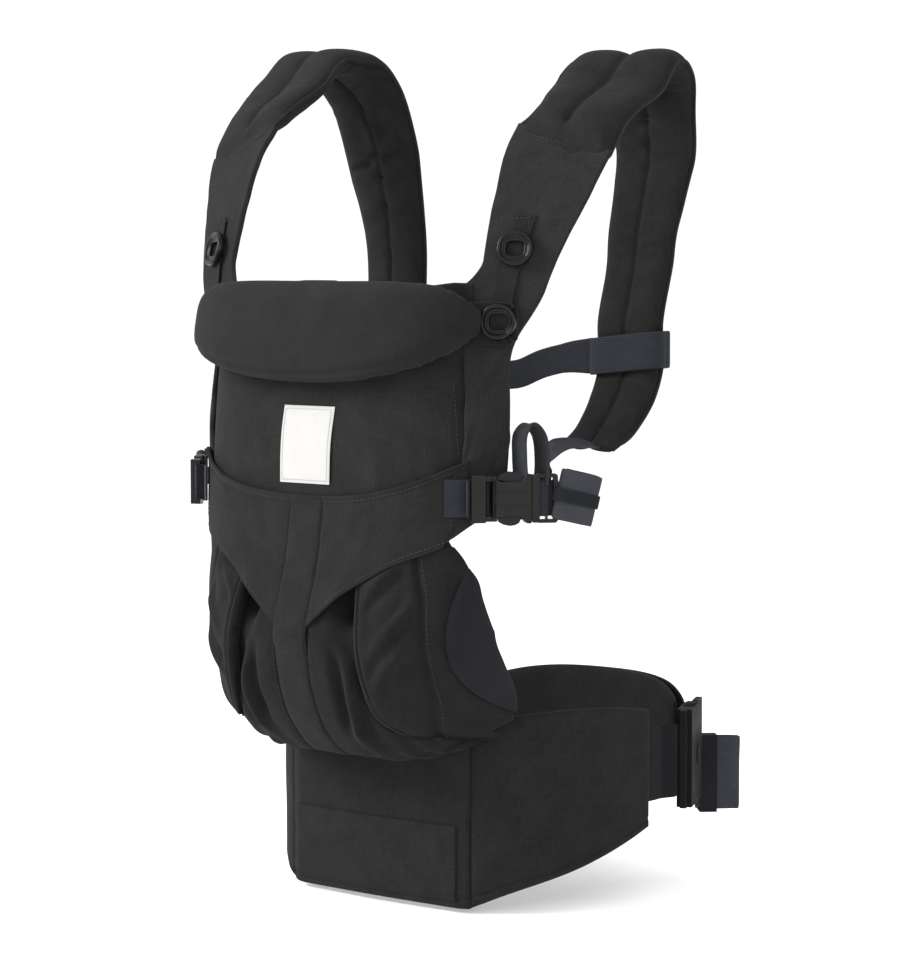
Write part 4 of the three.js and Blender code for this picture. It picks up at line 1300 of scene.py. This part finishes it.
# Which way that webbing's width lies, from the padding to the buckle.
STRAP_WEB_SIDES = np.array([[1, 0, 0], [0.8, -0.5, 0.5], [0.5, -0.6, 0.6], [0.2, -0.2, 0.9], [0, 0.1, 1]])
CROSS_LEFT = [[73.8, 22, 274.5], [52, 23, 273], [27, 25, 268], [5, 26, 260.5], [-12.5, 26, 259]]
CROSS_RIGHT = np.array([[22.0, 266.0], [25.0, 260.0]])  # y and z of the short band's two ends


def make_webbing():
    s = np.linspace(0, 1, 60)
    for suffix, sign in SIDES:
        line = Route(STRAP_WEB_LINES[suffix]).at(s) * [sign, 1, 1]
        side = stacked(*(between(column, s) for column in STRAP_WEB_SIDES.T)) * [sign, 1, 1]
        made = band(f"strap_webbing_band{suffix}", line, side, STRAP_WEB - 1, WEBBING, WEB)
        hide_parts(f"strap_webbing{suffix}")
        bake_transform(made)
    line = Route(CROSS_LEFT).at(s)
    made = band("cross_strap_band_L", line, UP, between([25, 20, 20, 20], s), WEBBING, WEB)
    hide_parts("cross_webbing_L")
    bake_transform(made)
    ends = [[corner[0] / MM, *place] for corner, place in zip(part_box("cross_webbing_R"), CROSS_RIGHT)]
    line = mix(*np.array(ends), s[:, None])
    placed(band("cross_strap_band_R", line, UP, 20, WEBBING, WEB), "cross_strap", "cross_webbing_R")


def ring_line(start, stop, radius, count):
    return turned(np.linspace(start, stop, count)) * radius


def node_angles(node):
    """The lowest and highest angle that a packed ring piece covers."""
    x, y, z = node_points(node).T
    angle = np.degrees(np.arctan2(y, x))
    angle = np.where(angle < -90, angle + 360, angle)
    return angle.min(), angle.max()


WAIST_TURN = 27.0  # angle of the waist buckle on the ring
BUCKLE_OUT = 143.0
BUCKLE_SHIFT = 12.0
UNDER_WING = 3.0  # degrees of the ring that the webbing runs in under each wing


def make_waist_webbing():
    """The webbing that leaves each wing, runs under the buckle's outer bar and ends in its slot."""
    along = turned(WAIST_TURN + 90)
    place = Frame(turned(WAIST_TURN) * BUCKLE_OUT + along * BUCKLE_SHIFT, along, UP)
    socket_end = inside_frame(place, "waist_female")[0][0]
    plug_end = inside_frame(place, "waist_male")[1][0]
    round_bar = np.array([[-2, 0, -5], [1.2, 0, -4.6], [3.4, 0, -2.5], [3.6, 0, 2.5]])
    low, high = node_angles("waist_webbing_L")
    arc = ring_line(low - UNDER_WING, mix(low, high, 0.55), RING, 6)
    line = Route(np.concatenate([arc, place.at(round_bar + [socket_end, 0, 0])])).spaced(60)
    # Both waist webbing bands take the darker webbing copy, which is painted shade.
    made = band("waist_webbing_band_L", line, UP, WAIST_WEB, WEBBING, SHADED_WEB, 24)
    placed(made, "root", "waist_webbing_L")
    low, high = node_angles("waist_webbing_R")
    arc = ring_line(low + 4, high + UNDER_WING, RING, 30)
    hook = place.at(round_bar[::-1] * [-1, 1, 1] + [plug_end, 0, 0])
    line = Route(np.concatenate([hook, arc])).spaced(170)
    made = band("waist_webbing_band_R", line, UP, WAIST_WEB, WEBBING, SHADED_WEB, 24)
    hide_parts("waist_webbing_R")
    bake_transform(made)


# ---------------------------------------------------------------- waist belt
FRONT_HALF = 74.6
FRONT_FACE = -112.0
BELT_PAD = 10.0
BELT_LOW = -86.0
BELT_TOP = 34.0
BELT_SEAM = 1.02  # key of the seam between the front and each wing
WING_FROM, WING_TO = -56.3, -1.0


def belt_plan(depth_share):
    """Plan points of the belt from its right end round the front to its left end, with their keys. A key
    is from -1 to 1 on the flat front, and runs on to 2 along each wing."""
    key = np.linspace(-2, 2, 1601)
    y = mix(FRONT_FACE, FRONT_FACE - BELT_PAD - 3 * (1 - key**2), depth_share)
    angle = WING_FROM + (abs(key) - 1) * (WING_TO - WING_FROM)
    arc = turned(angle) * mix(RING - BELT_PAD / 2, RING + BELT_PAD / 2, depth_share)
    arc[:, 0] *= np.sign(key)
    plan = np.where(abs(key[:, None]) <= 1, stacked(FRONT_HALF * key, y, 0 * y), arc)
    padded = np.concatenate([plan[:1] * 2 - plan[30:0:-1], plan, plan[-1:] * 2 - plan[-2:-32:-1]])
    return key, stacked(*(np.convolve(column, np.ones(61) / 61, "valid") for column in padded.T))


OUTER_PLAN = belt_plan(1.0)
INNER_PLAN = belt_plan(0.0)


def belt_low(key):
    part = np.clip(abs(key) - 1, 0, 1)
    return mix(BELT_LOW, -35, part**0.95) - 3.0 - 4.0 * smoothstep(part, 0.1, 0.6)


def belt_top(key):
    angle = WING_FROM + (abs(key) - 1) * (WING_TO - WING_FROM)
    return np.where(abs(key) <= 1, mix(20, BELT_TOP, key**2), 43.5 - 0.9 * ((angle + 25) / 10) ** 2)


def belt_point(plan, key, z):
    place = points_at(key, *plan)
    place[..., 2] = z
    return place


def belt_cloth(key, z, outside=True):
    """A face of the belt, with the seams of its outer one."""
    place = belt_point(OUTER_PLAN if outside else INNER_PLAN, key, z)
    lift = 0.7 * noise(place, 48, 40 if outside else 41) + 0.3 * noise(place, 13, 42)
    if outside:
        lift -= 1.3 * bump(abs(key), BELT_SEAM, 0.012) + 0.7 * bump(abs(key), BELT_SEAM, 0.06)
        lift -= 0.8 * bump(z - belt_low(key), 7, 1.2) + 0.6
    else:
        lift = -lift
    return place + unit(place * [1, 1, 0]) * lift[..., None]


BELT_EDGE = 5.0  # radius of the belt's round edges
# Each part of the belt: its node, its first and last key, and how much further off the edge is taken to be
# at each of them. An end that goes on into the next part keeps its thickness that way.
BELT_PARTS = (
    ("belt_front", -BELT_SEAM, BELT_SEAM, 0.8, 0.8),
    ("belt_wing_L", BELT_SEAM, 2.0, 50, 0),
    ("belt_wing_R", -2.0, -BELT_SEAM, 0, 50),
)


def make_belt():
    for node, first, last, start, stop in BELT_PARTS:
        a, b = np.meshgrid(spread(150, 0.5), spread(110))
        key = mix(first, last, a)
        z = mix(belt_low(key), belt_top(key), b)
        front, back = belt_cloth(key, z), belt_cloth(key, z, False)
        drop = edge_drop(front, BELT_EDGE, start, stop)[..., None]
        middle = (front + back) / 2
        name = node.replace("front", "front_cloth").replace("wing", "wing_cloth")
        made = two_sided(name, mix(front, middle, drop), mix(back, middle, drop), CANVAS)
        placed(made, "root", node)
    a, b = np.meshgrid(spread(120), spread(50))
    grid = belt_cloth(mix(-0.94, 0.94, a), mix(-83.0, -33.0, b))
    grid += unit(grid * [1, 1, 0]) * 1.5
    patch = sheet_piece("seat_adjust_patch", grid, 1.6, CANVAS, (0, 0, -40))
    placed(patch, "root", "belt_adjust_patch")


def make_lumbar():
    """The back pad: a cushion on the inside of the webbing and a cover over it."""
    a, b = np.meshgrid(spread(160), spread(70))
    angle = mix(47.0, 133.0, a)
    radial = turned(angle)
    z = (2 * b - 1) * mix(42, 28.5, abs((angle - 90) / 43) ** 3)
    place = radial * 130
    place[..., 2] = z
    crown = dome(2 * a - 1, 8) * dome(2 * b - 1, 6)
    ripple = 0.8 * noise(place, 26, 50) * crown
    inner = place + radial * (2.5 - 5.5 * crown - ripple)[..., None]
    outer = place + radial * (3.0 + 3.8 * crown)[..., None]
    cushion = two_sided("lumbar_cushion", outer, inner, CANVAS)
    placed(cushion, "lumbar", "lumbar_pad")
    cover = radial * 142.3
    cover[..., 2] = z * 0.985
    cover += radial * ((crown - 1) * 3.0 + 0.5 * noise(cover, 30, 51))[..., None]
    cover = placed(sheet_piece("lumbar_cover", cover, 1.4, CANVAS, (0, 0, 0)), "lumbar", "lumbar_pad")


# ---------------------------------------------------------------- topstitching
def body_seams():
    """Each seam of the left half of the body: its cloth surface and its (x, z) places."""
    return [
        (vee_cloth, [(15.6, 182), (15.8, 150), (15.2, 122), (14.6, 104)]),
        (vee_cloth, [(x, v_top(x) - 3.6) for x in (1, 25, 50, 77, 96, 110)]),
        (vee_cloth, [(x, v_low(x) + 3.4) for x in (8, 25, 47, 61, 77, 92, 106)]),
        (vee_cloth, [(109.5, 204), (108.5, 185), (106.5, 166)]),
        (pouch_cloth, [(15.8, 96), (15.8, 70), (16, 40), (16, 18)]),
        (gusset_cloth, [(gusset_edge(z) + 2.6, z) for z in (31, 38, 65, 100, 140)]),
        (gusset_cloth, [(92, 150), (97, 124), (98, 92), (96, 59), (91, 36)]),
        (panel_cloth, [(107, 262), (109, 245), (111.5, 214)]),
    ]


def make_seams():
    lines = [along_skin(surface, [(x * sign, z) for x, z in places])
             for suffix, sign in SIDES for surface, places in body_seams()]
    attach(stitches("body_topstitching", lines), "root")
    share = np.linspace(0.03, 0.97, 60)
    lines = []
    for suffix, sign in SIDES:
        for below in (2.5, 5.5):
            z = base_top(share) - below
            away = base_out(np.interp(z, *BASE_HEIGHTS))
            lines.append((handed(wing_cloth(share, z), sign), away * [sign, 1, 1]))
        place = disc_frame(f"head_button_upper{suffix}")
        low, high = inside_frame(place, f"button_webbing{suffix}")
        face = high[2]
        edges = [[[x, 13, face], [x, high[1] - 1.5, face]] for x in (low[0] + 4.5, high[0] - 4.5)]
        edges.append([[low[0] + 4, high[1] - 2, face], [high[0] - 4, high[1] - 2, face]])
        lines += [(place.at(edge), place.axes[[2, 2]]) for edge in edges]
    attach(stitches("strap_topstitching", lines), "root")


# ---------------------------------------------------------------- camera, light and floor
# The camera stands at the front and a little to the wearer's left, level with the label.
AZIMUTH, ELEVATION = math.radians(40), math.radians(4)
TARGET_SIDE, TARGET_HEIGHT = -28.0, 187.0
DISTANCE = 2.2
SENSOR = 36.0
FOCAL = 3143 / 959  # focal length as a share of the picture's height
FLOOR_GAP = 0.006
# Each light's name, place in metres, size and power.
LIGHTS = (
    ("key", (-1.5, -1.8, 1.5), 1.2, 95),
    ("fill", (1.9, -1.5, 1.1), 1.6, 22),
    ("rim", (0.8, 1.8, 1.8), 1.4, 14),
)
LIT_POINT = (0, 0, 0.2)


def aimed(name, data, back, place):
    """A camera or light at a place, which looks away from the direction back."""
    made = bpy.data.objects.new(name, data)
    bpy.context.scene.collection.objects.link(made)
    back = unit(np.asarray(back, float))
    right = unit(np.cross(UP, back))
    matrix = np.eye(4)
    matrix[:3] = stacked(right, np.cross(back, right), back, place)
    made.matrix_world = Matrix(matrix.tolist())
    return made


def make_camera():
    sideways, forwards = math.sin(AZIMUTH), math.cos(AZIMUTH)
    level = math.cos(ELEVATION)
    back = np.array([sideways * level, -forwards * level, math.sin(ELEVATION)])
    target = np.array([TARGET_SIDE * forwards, TARGET_SIDE * sideways, TARGET_HEIGHT]) * MM
    camera = aimed("camera", bpy.data.cameras.new("camera"), back, target + back * DISTANCE)
    camera.data.sensor_width = SENSOR
    camera.data.lens = FOCAL * SENSOR
    camera.data.clip_start, camera.data.clip_end = 0.1, 30
    bpy.context.scene.camera = camera
    bpy.context.scene.view_settings.view_transform = "Standard"


def make_floor():
    bpy.ops.mesh.primitive_plane_add(size=14, location=(0, 0, cad_box[0][2] - FLOOR_GAP))
    floor = bpy.context.object
    floor.name = "floor"
    pale = bpy.data.materials.new("floor")
    tree, shader = nodes_of(pale)
    place = tree.nodes.new("ShaderNodeTexCoord").outputs["Object"]
    faint = texture(tree, "ShaderNodeTexNoise", place, Scale=3.0, Detail=2.0).outputs["Fac"]
    link(tree, ramp(tree, faint, (0.965,) * 3, (0.98,) * 3), shader.inputs["Base Color"])
    put(shader, Roughness=0.9, Specular_IOR_Level=0.1)
    floor.data.materials.append(pale)


def make_lights():
    world = bpy.data.worlds.new("studio")
    bpy.context.scene.world = world
    world.use_nodes = True
    put(world.node_tree.nodes["Background"], Color=(1, 1, 1, 1), Strength=1.05)
    for name, place, size, power_in_watts in LIGHTS:
        light = bpy.data.lights.new(name, "AREA")
        light.size = size
        light.energy = power_in_watts
        aimed(name, light, np.subtract(place, LIT_POINT), place)


make_camera()
make_floor()
make_lights()
make_body()
make_label()
make_pillow()
make_wings()
make_shoulder_pads()
make_small_parts()
make_webbing()
make_tails()
make_waist_webbing()
make_belt()
make_lumbar()
make_seams()
